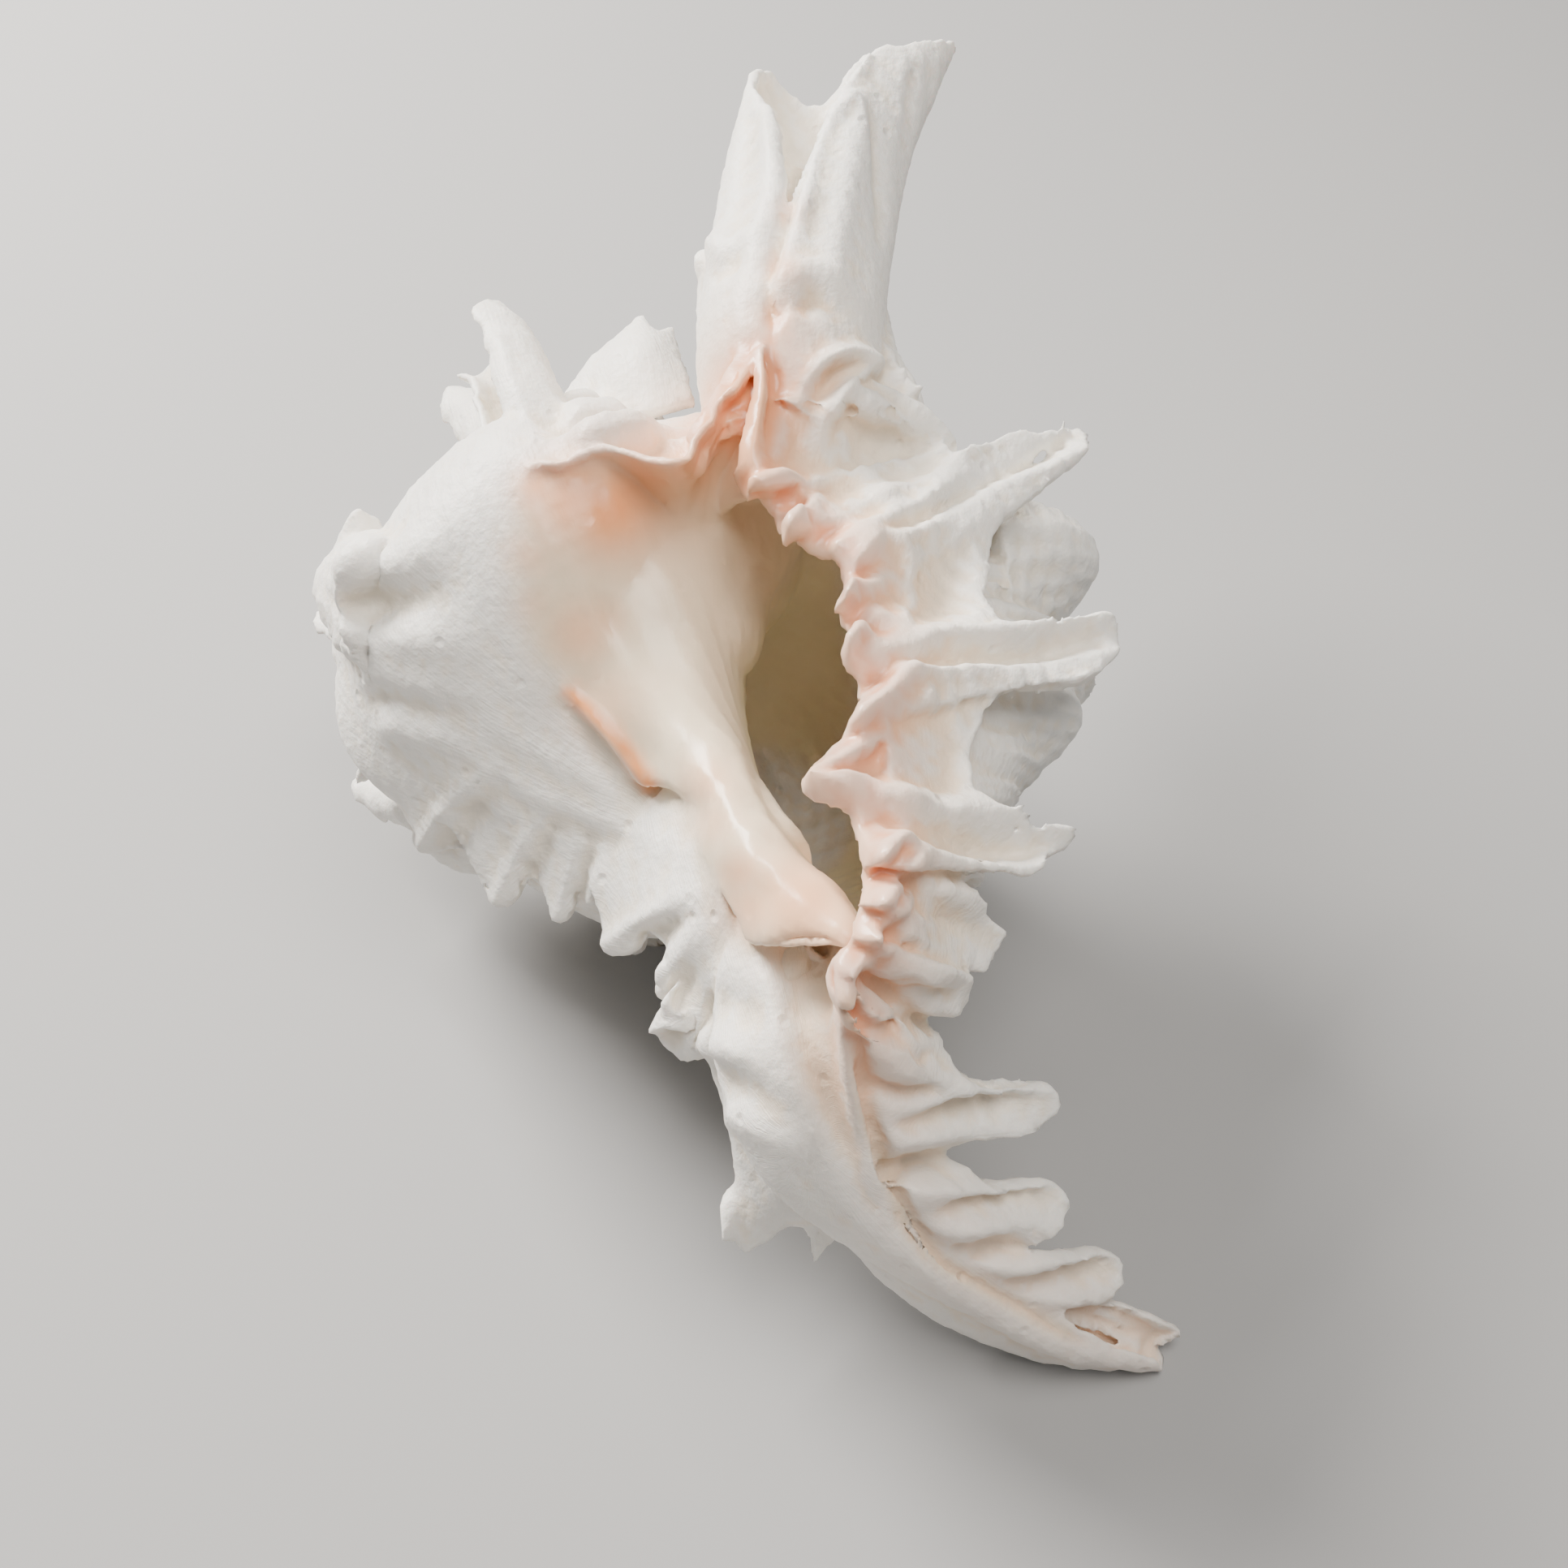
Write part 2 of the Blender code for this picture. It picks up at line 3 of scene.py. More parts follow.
import bpy
import numpy as np
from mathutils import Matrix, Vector


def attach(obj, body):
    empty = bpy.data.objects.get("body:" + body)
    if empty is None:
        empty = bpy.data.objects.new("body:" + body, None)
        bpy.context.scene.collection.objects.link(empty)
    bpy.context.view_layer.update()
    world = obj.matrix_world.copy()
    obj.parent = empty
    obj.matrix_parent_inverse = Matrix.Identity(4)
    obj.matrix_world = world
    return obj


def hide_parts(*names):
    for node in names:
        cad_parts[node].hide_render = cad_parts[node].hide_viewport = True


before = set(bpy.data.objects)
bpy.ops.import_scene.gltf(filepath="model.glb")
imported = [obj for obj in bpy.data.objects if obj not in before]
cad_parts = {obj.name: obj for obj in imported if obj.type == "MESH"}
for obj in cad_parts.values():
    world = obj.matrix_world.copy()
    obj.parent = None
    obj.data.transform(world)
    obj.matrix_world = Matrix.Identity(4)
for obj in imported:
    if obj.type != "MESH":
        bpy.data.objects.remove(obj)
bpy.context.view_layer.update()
print("frame loaded")

mm = 0.001
turn = 2 * math.pi
core = 0.02  # closed rings end at this share of their radius, near their middle line
shellParts = []  # closed solids (corners, faces) that are melted into one skin

# The camera of the photograph, in millimetres on the surface the shell rests on.
view = {
    "place": (14.3, -195.3, 260.0),
    "downward": 50.5,
    "focal": 2090.0,
    "centre": 966.0,
    "picture": 1932,
    "sensor": 36.0,
    "usualDepth": 250,
}

# Sizes of the shell in millimetres; degrees count back from the lip.
spiral = {
    "axisPoint": (-5.7, -11.3, 58.0),
    "axisDirection": (-0.29, 0.955, 0.04),
    "apexHeight": 70.0,
    "widening": 1.9,
    "lipAngle": -30.0,
    "outline": [(25, 20), (40, 21), (54, 17), (63, 9), (67, -1), (68, -11), (65, -22),
                (58, -33), (48, -43), (36, -53), (25, -62), (16, -69), (10, -74)],
    "knobs": (38, 168, 300, 420, 540, 660, 780),
    "knobSpread": 10,
    "knobRows": [(0.29, 0.07, 0.17), (0.46, 0.05, 0.11)],
    "varices": [(78, 86), (222, -50), (365, 0), (485, 0), (605, 0), (725, 0), (845, 0)],
    "varixHeight": 0.08,
    "varixSpread": 8,
    "varixMiddle": 0.42,
    "varixReach": 0.28,
    "neckHeight": 0.9,
    "neckShares": (0.68, 1.0),
    "neckDegrees": (250, 310),
    "hollows": [(312, 26, 0.26, 0.15, 0.24), (322, 22, 0.62, 0.11, 0.12),
                (172, 24, 0.68, 0.2, 0.07)],
    "cords": 34,
    "cordHeight": 0.002,
    "cordShares": (0.08, 0.2),
    "cordRaised": 3,
    "cordRaisedUpTo": (165, 200),
    "older": [(268, 640, 0.8), (640, 1512, 2.0)],
}

# How the sheets are melted together: voxels in mm, rounds of smoothing and the triangles that
# stay. Then the heights in mm of the uneven waves, and how far a place that is carved has to
# face the camera, as the cosine where it begins and where it is full.
skin = {"voxel": 0.52, "quickVoxel": 0.9, "smoothing": 2, "finish": 2, "triangles": 190000,
        "wave": 0.24, "smallWave": 0.1, "faced": (0.0, 0.35)}

# Middle of the footprint of the solid, against which the points below were measured.
shift = np.array([18.3, -19.3, 0.0])


def unit(v):
    # v divided by its length.
    return v / np.maximum(np.linalg.norm(v, axis=-1, keepdims=True), 1e-9)


def step(x, low, high):
    # Smooth step: 3t^2 - 2t^3 of the share t of the way from low to high.
    t = np.clip((x - low) / (high - low), 0, 1)
    return t * t * (3 - 2 * t)


def smoothLine(points, count):
    # Catmull-Rom line through the points, even in its parameter.
    p = np.asarray(points, float)
    p = np.vstack([2 * p[0] - p[1], p, 2 * p[-1] - p[-2]])
    along = np.linspace(0, len(p) - 3 - 1e-9, count)
    i = along.astype(int)
    t = (along - i)[:, None]
    a, b, c, d = p[i], p[i + 1], p[i + 2], p[i + 3]
    return 0.5 * (2 * b + (c - a) * t + (2 * a - 5 * b + 4 * c - d) * t ** 2
                  + (3 * b - a - 3 * c + d) * t ** 3)


def lineAt(keys, points, at):
    # Catmull-Rom line whose points stand at the given keys, read at at.
    dense = smoothLine(points, 40 * len(points))
    keyed = np.interp(np.linspace(0, len(keys) - 1, len(dense)), np.arange(len(keys)), keys)
    return np.stack([np.interp(at, keyed, dense[:, i]) for i in range(dense.shape[1])], -1)


def spread(values, at):
    # Evenly spaced values read at shares from 0 to 1.
    return np.interp(at, np.linspace(0, 1, len(values)), values)


def sight(places):
    # Places (column, row of the picture, height in mm) as points: the eye plus the part of
    # the sight line forward + column * right + row * up that comes down to that height.
    places = np.asarray(places, float)
    down = math.radians(view["downward"])
    forward = np.array([0, math.cos(down), -math.sin(down)])
    up = np.array([0, math.sin(down), math.cos(down)])
    aside = (places[:, :1] - view["centre"]) / view["focal"]
    above = (view["centre"] - places[:, 1:2]) / view["focal"]
    ray = forward + aside * np.array([1.0, 0, 0]) + above * up
    eye = np.array(view["place"])
    return eye + ray * (places[:, 2:] - eye[2]) / ray[:, 2:]


def ownPlace(points):
    # Points measured from the older centre, moved to the middle of the footprint.
    return np.asarray(points, float) + shift


def pictureOf(points):
    # Column and row = centre + focal * (aside, -above) / depth, and the depth in mm.
    down = math.radians(view["downward"])
    forward = np.array([0, math.cos(down), -math.sin(down)])
    up = np.array([0, math.sin(down), math.cos(down)])
    away = points - np.array(view["place"])
    depth = away @ forward
    places = np.stack([view["centre"] + view["focal"] * away[..., 0] / depth,
                       view["centre"] - view["focal"] * (away @ up) / depth], -1)
    return places, depth


def lineRelief(points, lines):
    # Sum of height * exp(-(d / width)^2), d being the distance in mm from each line as it is
    # seen in the picture; widths and heights run evenly along the line.
    places, depth = pictureOf(points)
    total = np.zeros(len(points))
    for line, heights, widths in lines:
        dense = smoothLine(line, 16 * len(line))
        share = np.linspace(0, 1, len(dense))
        reach = 3.0 * max(widths) * view["focal"] / view["usualDepth"]
        close = (places > dense.min(0) - reach) & (places < dense.max(0) + reach)
        near = np.flatnonzero(close.all(-1))
        if len(near) == 0:
            continue
        gap = np.linalg.norm(places[near][:, None] - dense[None], axis=-1)
        nearest = gap.argmin(1)
        distance = gap[np.arange(len(near)), nearest] * depth[near] / view["focal"]
        size = spread(heights, share)[nearest]
        total[near] += size * np.exp(-(distance / spread(widths, share)[nearest]) ** 2)
    return total


def gridNormals(grid):
    # Cross product of the steps down the rows and along the columns.
    return unit(np.cross(np.gradient(grid, axis=0), np.gradient(grid, axis=1)))


def gridFaces(rows, columns, start, flip):
    # Quads between neighbouring grid points.
    i, j = np.meshgrid(np.arange(rows - 1), np.arange(columns - 1), indexing="ij")
    a = (i * columns + j).ravel() + start
    quads = np.stack([a, a + 1, a + columns + 1, a + columns], -1)
    return quads[:, ::-1] if flip else quads


def slab(top, bottom):
    # Closed solid between two grids: both faces and the strip round their edges.
    rows, columns, _ = top.shape
    count = rows * columns
    index = np.arange(count).reshape(rows, columns)
    ring = np.concatenate([index[0, :-1], index[:-1, -1], index[-1, :0:-1], index[:0:-1, 0]])
    after = np.roll(ring, -1)
    side = np.stack([after, ring, ring + count, after + count], -1)
    faces = np.vstack([gridFaces(rows, columns, 0, False),
                       gridFaces(rows, columns, count, True), side])
    shellParts.append((np.vstack([top.reshape(-1, 3), bottom.reshape(-1, 3)]), faces))


def sheet(grid, thickness, outward):
    # Wall of the given thickness on the inner side of a grid: grid minus normal * thickness.
    normals = gridNormals(grid)
    if np.median((normals * outward).sum(-1)) < 0:
        normals = -normals
    thickness = np.broadcast_to(thickness, grid.shape[:2])[..., None]
    slab(grid, grid - normals * thickness)


alongAxis = unit(np.array(spiral["axisDirection"]))
toBack = unit(np.array([0.0, 0.0, -1.0]) + alongAxis * alongAxis[2])
toRight = np.cross(toBack, alongAxis)
axisPoint = np.array(spiral["axisPoint"])
outline = smoothLine(spiral["outline"], 300)


def swell(back, share):
    # Radius factor 1 + varix ridges + knobs + thick neck - hollows by the mouth + low cords
    # sin(cords * share), broken up by sin(degrees) and higher on the last half turn.
    degrees = np.degrees(back)
    ridge = sum(np.exp(-((degrees - place - slant * share) / spiral["varixSpread"]) ** 2)
                for place, slant in spiral["varices"])
    ridge = ridge * np.exp(-((share - spiral["varixMiddle"]) / spiral["varixReach"]) ** 2)
    knob = sum(np.exp(-((degrees - k) / spiral["knobSpread"]) ** 4) for k in spiral["knobs"])
    knob = knob * sum(h * np.exp(-((share - s) / w) ** 4) for s, w, h in spiral["knobRows"])
    neck = step(share, *spiral["neckShares"]) * step(degrees, *spiral["neckDegrees"])
    hollow = sum(depth * np.exp(-((degrees - d) / reach) ** 4) * np.exp(-((share - s) / w) ** 4)
                 for d, reach, s, w, depth in spiral["hollows"])
    waves = turn * spiral["cords"] * share
    cord = np.sin(waves) + 0.5 * np.sin(2.31 * waves)
    cord = cord * (1 + 0.6 * np.sin(1.6 * degrees + 9 * np.sin(40 * share)))
    cord = cord * (1 + spiral["cordRaised"] * (1 - step(degrees, *spiral["cordRaisedUpTo"])))
    grown = np.sin(degrees * 1.1) * np.sin(degrees * 0.37 + 6 * share)
    fine = spiral["cordHeight"] * (cord * step(share, *spiral["cordShares"]) + 0.7 * grown)
    return 1 + spiral["varixHeight"] * ridge + knob + spiral["neckHeight"] * neck - hollow + fine


def whorl(back, share):
    # Axis point + radius * (cos, sin) of the angle + height along the axis, both scaled by
    # widening ^ (-back / turn) about the apex.
    scale = spiral["widening"] ** (-back / turn)
    radius = scale * spread(outline[:, 0], share) * swell(back, share)
    height = spiral["apexHeight"] - scale * (spiral["apexHeight"] - spread(outline[:, 1], share))
    angle = math.radians(spiral["lipAngle"]) + back
    return (axisPoint + (radius * np.cos(angle))[..., None] * toRight
            + (radius * np.sin(angle))[..., None] * toBack + height[..., None] * alongAxis)


def onAxis(points):
    # Foot of each point on the axis.
    return axisPoint + ((points - axisPoint) @ alongAxis)[..., None] * alongAxis


def olderWhorls():
    # Full sections of the older whorls, from their outline to the axis.
    back = np.radians(np.concatenate([np.arange(*span) for span in spiral["older"]]))
    share = np.linspace(0, 1, 170)
    rings = whorl(back[:, None] + 0 * share, share + 0 * back[:, None])
    foot = onAxis(rings)
    slab(rings, foot + (rings - foot) * core)


olderWhorls()

mouth = {
    "rim": [(0.00, (-43, 22, 92)), (0.06, (-29, 23, 96)), (0.12, (-18, 18, 97)),
            (0.17, (-13, 28, 99)), (0.22, (-6, 38, 101)), (0.27, (-5, 24, 97)),
            (0.33, (-1, 15, 95)), (0.39, (5, 8, 93)), (0.46, (8, -2, 91)),
            (0.53, (9, -12, 90)), (0.60, (10, -22, 89)), (0.67, (10, -33, 88)),
            (0.75, (12, -42, 86)), (0.84, (11, -49, 82)), (0.92, (8, -54, 77)),
            (1.00, (6, -57, 72))],
    "leave": [(0.0, -45), (0.1, -30), (0.2, 0), (0.3, 28), (0.45, 40), (0.8, 38), (1.0, 30)],
    "approach": [(0.0, (0.3, 0.7, -0.1)), (0.15, (0.5, 0.6, -0.2)), (0.25, (0.8, 0.3, -0.4)),
                 (0.35, (0.85, 0.05, -0.55)), (1.0, (0.8, 0.0, -0.5))],
    "reach": 0.34,
    "seenBack": 285,
    "wall": 3.0,
    "rimWall": 1.8,
    "rimRun": 0.12,
}


def read(table, at):
    # Rows of (share, value or point) read at the given shares.
    values = np.array([row[1] for row in table], float).reshape(len(table), -1)
    keys = [row[0] for row in table]
    return np.stack([np.interp(at, keys, column) for column in values.T], -1)


def lastWhorl():
    # Spiral wall that leaves for the rim of the mouth along cubic Bezier curves.
    share = np.linspace(0, 1, 240)
    leave = np.radians(read(mouth["leave"], share)[:, 0])
    run = np.linspace(0, 1, 420)[:, None]
    back = leave * (1 - run) + math.radians(mouth["seenBack"]) * run
    wound = whorl(back, share + 0 * run)
    start = wound[0]
    heading = unit(wound[0] - wound[1])
    rim = ownPlace(read(mouth["rim"], share))
    approach = unit(read(mouth["approach"], share))
    reach = mouth["reach"] * np.linalg.norm(rim - start, axis=1)[:, None]
    t = np.linspace(0, 1, 90)[:-1][:, None, None]
    front = ((1 - t) ** 3 * rim + 3 * (1 - t) ** 2 * t * (rim + approach * reach)
             + 3 * (1 - t) * t ** 2 * (start + heading * reach) + t ** 3 * start)
    grid = np.concatenate([front, wound])
    along = np.linspace(0, 1, len(grid))[:, None]
    thicker = (mouth["wall"] - mouth["rimWall"]) * step(along, 0, mouth["rimRun"])
    sheet(grid, mouth["rimWall"] + thicker + 0 * share, grid - onAxis(grid))


lastWhorl()
print("whorls made")

# Lip: the toothed inner edge from the top of the mouth to the canal tip, as tooth and
# groove points in turn; the outer edge round the fronds, each point with the number of the
# inner point it stands across from; and the fronds as first, middle and last number, depth.
lip = {
    "inner": [(946, 440, 103), (926, 505, 101), (913, 568, 100), (920, 588, 98),
              (926, 602, 98.5), (958, 614, 96), (969, 656, 97), (1006, 660, 95),
              (1030, 664, 96), (1050, 700, 94), (1036, 738, 94.5), (1058, 752, 93),
              (1040, 797, 93.5), (1072, 832, 92), (1050, 888, 92.5), (1066, 905, 91),
              (994, 955, 91.5), (1060, 983, 91), (1079, 1061, 90), (1092, 1074, 88),
              (1075, 1114, 88.5), (1084, 1127, 86.5), (1066, 1157, 86), (1075, 1172, 84),
              (1038, 1198, 82.5), (1062, 1206, 80.5), (1041, 1220, 80), (1054, 1245, 76),
              (1058, 1290, 70), (1072, 1340, 64), (1086, 1390, 58), (1104, 1445, 52),
              (1130, 1497, 45), (1170, 1543, 36), (1230, 1590, 26), (1300, 1630, 17),
              (1370, 1655, 9), (1420, 1668, 5)],
    "outer": [(0, (1098, 425, 98)), (1.2, (1122, 460, 97)), (2.5, (1149, 490, 95)),
              (3.6, (1162, 530, 92.5)), (5.0, (1180, 562, 90.5)), (5.8, (1204, 551, 90)),
              (6.6, (1245, 532, 90)), (7.3, (1290, 513, 90)), (7.8, (1331, 506, 89)),
              (8.2, (1348, 528, 88)), (8.6, (1340, 557, 87)), (9.0, (1300, 588, 86.5)),
              (9.5, (1258, 622, 86)), (10.0, (1228, 652, 85)), (10.4, (1222, 700, 84.5)),
              (10.8, (1218, 745, 85)), (11.2, (1240, 767, 86)), (11.6, (1290, 762, 86)),
              (12.0, (1335, 754, 85.5)), (12.3, (1370, 749, 85)), (12.6, (1389, 772, 83.5)),
              (12.9, (1380, 800, 82)), (13.3, (1342, 832, 82)), (13.8, (1295, 838, 82.5)),
              (14.3, (1240, 846, 83)), (14.8, (1222, 872, 82.5)), (15.4, (1202, 925, 82)),
              (15.9, (1203, 972, 82)), (16.2, (1235, 988, 82)), (16.6, (1275, 996, 81)),
              (16.9, (1310, 998, 80)), (17.2, (1336, 1012, 78)), (17.5, (1326, 1034, 76)),
              (17.9, (1290, 1054, 76)), (18.3, (1272, 1078, 75)), (18.7, (1238, 1074, 77)),
              (19.1, (1198, 1062, 78.5)), (19.4, (1180, 1076, 78)), (19.8, (1200, 1098, 76)),
              (20.2, (1230, 1128, 72)), (20.5, (1250, 1158, 69)), (20.9, (1214, 1200, 67)),
              (21.5, (1172, 1194, 70)), (22.2, (1192, 1206, 68)), (23.0, (1188, 1234, 65)),
              (23.7, (1152, 1258, 63)), (24.5, (1160, 1280, 60)), (26.0, (1178, 1312, 57)),
              (27.2, (1202, 1338, 54)), (28.0, (1235, 1347, 53)), (28.7, (1270, 1350, 52)),
              (29.2, (1300, 1345, 51)), (29.6, (1317, 1368, 49)), (30.0, (1292, 1390, 47)),
              (30.4, (1235, 1400, 46)), (30.8, (1192, 1402, 46)), (31.1, (1172, 1420, 44)),
              (31.4, (1200, 1440, 42)), (31.7, (1222, 1465, 40)), (32.0, (1260, 1470, 38)),
              (32.3, (1300, 1465, 36)), (32.6, (1328, 1489, 33)), (32.9, (1302, 1520, 31)),
              (33.3, (1272, 1545, 29)), (33.6, (1292, 1551, 28)), (33.9, (1340, 1556, 25)),
              (34.3, (1394, 1566, 20)), (34.8, (1370, 1608, 15)), (35.3, (1392, 1612, 12)),
              (36.0, (1425, 1628, 9)), (36.6, (1462, 1646, 5)), (37.0, (1440, 1662, 4))],
    "fronds": [(0.3, 2.8, 4.9, 5.0), (5.0, 8.2, 10.4, 2.0), (10.8, 12.6, 14.8, 2.0),
               (15.9, 17.2, 19.1, 2.0), (19.4, 20.5, 21.5, 2.0), (21.6, 22.7, 23.7, -2.5),
               (25.0, 29.6, 31.1, 2.0), (31.1, 32.6, 33.3, 2.0), (33.3, 34.3, 34.9, 2.0)],
    "frondDip": (5, 15),
    "web": 3.0,
    "toothed": (27, 33),
    "pleat": 0.9,
    "pleatReach": 5,
    "roll": 1.8,
    "rollReach": 2.5,
    "wall": 3.0,
    "edgeWall": 2.3,
    "ruffle": 0.45,
    "ripple": 0.3,
    "rippleStart": (6, 11),
    "underPleat": 0.5,
    "underCrest": 0.3,
}
# Crests and grooves of the lip: line in the picture, heights and widths along it in mm.
lipLines = [
    ([(1098, 640), (1135, 624), (1180, 600), (1240, 560), (1300, 530), (1330, 520)],
     [-1.5, -4, -4.5, -4, -1.5], [1.2, 2.0, 2.6, 3.2, 3.0]),
    ([(1102, 628), (1138, 608), (1174, 573), (1216, 540), (1276, 520), (1330, 508)],
     [0.5, 1.8, 2.0, 1.2, 0.2], [1.6]),
    ([(1108, 648), (1150, 636), (1180, 614), (1240, 580), (1300, 566), (1340, 545)],
     [1.0, 1.8, 1.6, 1.2, 0.6], [1.5]),
    ([(1105, 808), (1138, 803), (1200, 791), (1264, 790), (1312, 781), (1370, 772)],
     [-1.5, -4, -4.5, -4, -1.5], [1.2, 2.0, 2.4, 2.8, 2.8]),
    ([(1120, 800), (1138, 788), (1180, 765), (1264, 770), (1312, 756), (1375, 750)],
     [0.8, 2.0, 2.4, 2.0, 1.0], [1.5]),
    ([(1100, 822), (1138, 817), (1216, 811), (1300, 808), (1378, 796)],
     [1.0, 2.6, 2.4, 2.0, 0.8], [1.5]),
    ([(1110, 1010), (1150, 1018), (1216, 1021), (1265, 1024), (1315, 1020)],
     [-1.5, -3.5, -4, -3.5, -0.8], [1.4, 2.2, 2.8, 3.0]),
    ([(1100, 960), (1150, 977), (1228, 994), (1300, 1000)], [1.0, 2.0, 1.4, 0.3], [1.6]),
    ([(1125, 1035), (1160, 1042), (1195, 1062), (1240, 1072), (1275, 1073), (1300, 1052)],
     [0.8, 2.0, 2.0, 1.5], [1.5]),
    ([(1130, 1092), (1165, 1120), (1195, 1145), (1225, 1158)],
     [-1.0, -3.0, -3.0, -1.5], [1.5, 2.2]),
    ([(1110, 1392), (1150, 1385), (1210, 1372), (1260, 1366), (1300, 1362)],
     [-1.0, -3.0, -3.5, -3.0, -1.5], [1.3, 2.0, 2.4]),
    ([(1130, 1370), (1165, 1362), (1210, 1350), (1260, 1354), (1300, 1350)],
     [0.5, 1.8, 1.8, 1.0], [1.4]),
    ([(1160, 1500), (1200, 1490), (1250, 1488), (1305, 1484)], [-1.0, -2.8, -3.0, -1.5], [1.4, 2.2]),
    ([(1235, 1590), (1290, 1582), (1340, 1575), (1380, 1572)], [-0.5, -2.2, -2.5, -1.2], [1.4, 2.0]),
    ([(925, 601), (960, 592), (1000, 575)], [3.0, 2.2, 0.3], [1.4]),
    ([(970, 649), (998, 622), (1010, 598), (1000, 568)], [3.2, 2.4, 1.2, 0.3], [1.4]),
    ([(1035, 736), (1052, 700), (1075, 668), (1092, 648)], [3.2, 2.6, 1.8, 0.3], [1.4]),
    ([(1042, 793), (1062, 768), (1088, 750), (1125, 735)], [3.2, 2.6, 1.6, 0.3], [1.4]),
    ([(1051, 883), (1085, 862), (1112, 838), (1140, 825)], [3.2, 2.8, 2.0, 0.4], [1.4]),
    ([(994, 950), (1045, 925), (1090, 905), (1135, 890)], [1.6, 2.2, 2.2, 0.4], [1.5]),
    ([(996, 975), (1050, 964), (1100, 968), (1145, 995)], [1.6, 2.2, 2.2, 0.4], [1.4]),
    ([(1005, 960), (1050, 942), (1090, 935)], [0.6, 1.6, 1.0], [3.5]),
    ([(1118, 662), (1132, 685), (1124, 710), (1134, 732), (1118, 752)], [1.5], [1.1]),
    ([(1150, 855), (1158, 880), (1146, 903), (1122, 922)], [1.5], [1.1]),
    ([(1080, 590), (1096, 600)], [1.6], [2.2]),
    ([(1165, 670), (1175, 720), (1168, 755)], [-0.8], [2.4]),
    ([(1195, 640), (1205, 690), (1200, 745)], [0.7], [1.2]),
    ([(1160, 880), (1172, 930), (1165, 975)], [-0.8], [2.2]),
    ([(1185, 870), (1190, 920), (1188, 970)], [0.6], [1.2]),
    ([(1135, 940), (1150, 930), (1185, 925)], [0.9, 0.7, 0.3], [1.2]),
    ([(1081, 1060), (1105, 1038), (1140, 1024)], [3.0, 2.6, 0.4], [1.3]),
    ([(1075, 1114), (1105, 1085), (1128, 1062), (1150, 1052)], [3.0, 2.6, 1.8, 0.4], [1.3]),
    ([(1066, 1157), (1100, 1122), (1135, 1095)], [2.8, 2.4, 0.4], [1.3]),
    ([(1039, 1198), (1078, 1172), (1120, 1150)], [2.8, 2.4, 0.4], [1.3]),
    ([(1075, 1300), (1110, 1320), (1150, 1330), (1200, 1345)], [0.8, 1.8, 1.8, 0.8], [1.6]),
    ([(1090, 1345), (1125, 1350), (1165, 1350)], [-1.5, -2.5, -0.8], [1.3]),
    ([(1100, 1410), (1150, 1402), (1200, 1402), (1290, 1392)], [1.0, 2.0, 2.0, 1.0], [1.4]),
    ([(1110, 1440), (1140, 1435), (1175, 1432)], [-1.5, -2.5, -1.0], [1.5]),
    ([(1130, 1470), (1170, 1465), (1215, 1470), (1260, 1474), (1305, 1470)],
     [1.0, 2.0, 2.0, 1.6, 0.8], [1.4]),
    ([(1165, 1525), (1210, 1512), (1250, 1512), (1300, 1512)], [0.8, 1.8, 1.8, 1.0], [1.4]),
    ([(1190, 1550), (1230, 1540), (1265, 1545)], [-1.2, -2.2, -0.8], [1.3]),
    ([(1225, 1565), (1280, 1562), (1340, 1562)], [0.8, 1.6, 0.8], [1.3]),
    ([(1260, 1605), (1310, 1602), (1360, 1602)], [0.6, 1.4, 0.8], [1.3]),
    ([(1130, 1075), (1170, 1098), (1215, 1128)], [0.8, 1.8, 0.8], [1.4]),
    ([(1110, 1145), (1140, 1165), (1180, 1190)], [0.8, 1.8, 0.8], [1.5]),
    ([(1100, 1195), (1140, 1195), (1185, 1207)], [0.8, 1.8, 1.0], [1.4]),
    ([(1085, 1245), (1120, 1243), (1170, 1238)], [0.8, 2.0, 1.4], [1.5]),
    ([(1080, 1290), (1115, 1295), (1155, 1282)], [0.6, 1.6, 1.0], [1.4]),
    ([(1045, 700), (1070, 700), (1105, 690)], [-1.6, -1.6, -0.4], [1.0]),
    ([(1058, 752), (1085, 770), (1110, 775)], [-1.6, -1.6, -0.4], [1.0]),
    ([(1072, 832), (1095, 822), (1110, 812)], [-1.4, -1.4, -0.4], [1.0]),
    ([(1080, 1000), (1100, 1000), (1125, 1005)], [-1.4, -1.4, -0.4], [1.0]),
    ([(1092, 1074), (1112, 1052), (1130, 1038)], [-1.4, -1.4, -0.4], [0.9]),
    ([(1085, 1130), (1108, 1108), (1130, 1080)], [-1.4, -1.4, -0.4], [0.9]),
    ([(1075, 1172), (1100, 1150), (1130, 1125)], [-1.4, -1.4, -0.4], [0.9]),
    ([(985, 612), (1005, 640), (1040, 650)], [-1.2, -1.4, -0.5], [1.0]),
    ([(1085, 1225), (1120, 1215), (1160, 1215), (1190, 1222)], [-0.5, -2.0, -2.0, -0.8], [1.3]),
    ([(1080, 1265), (1110, 1270), (1150, 1258)], [-0.5, -2.0, -1.2], [1.3]),
]


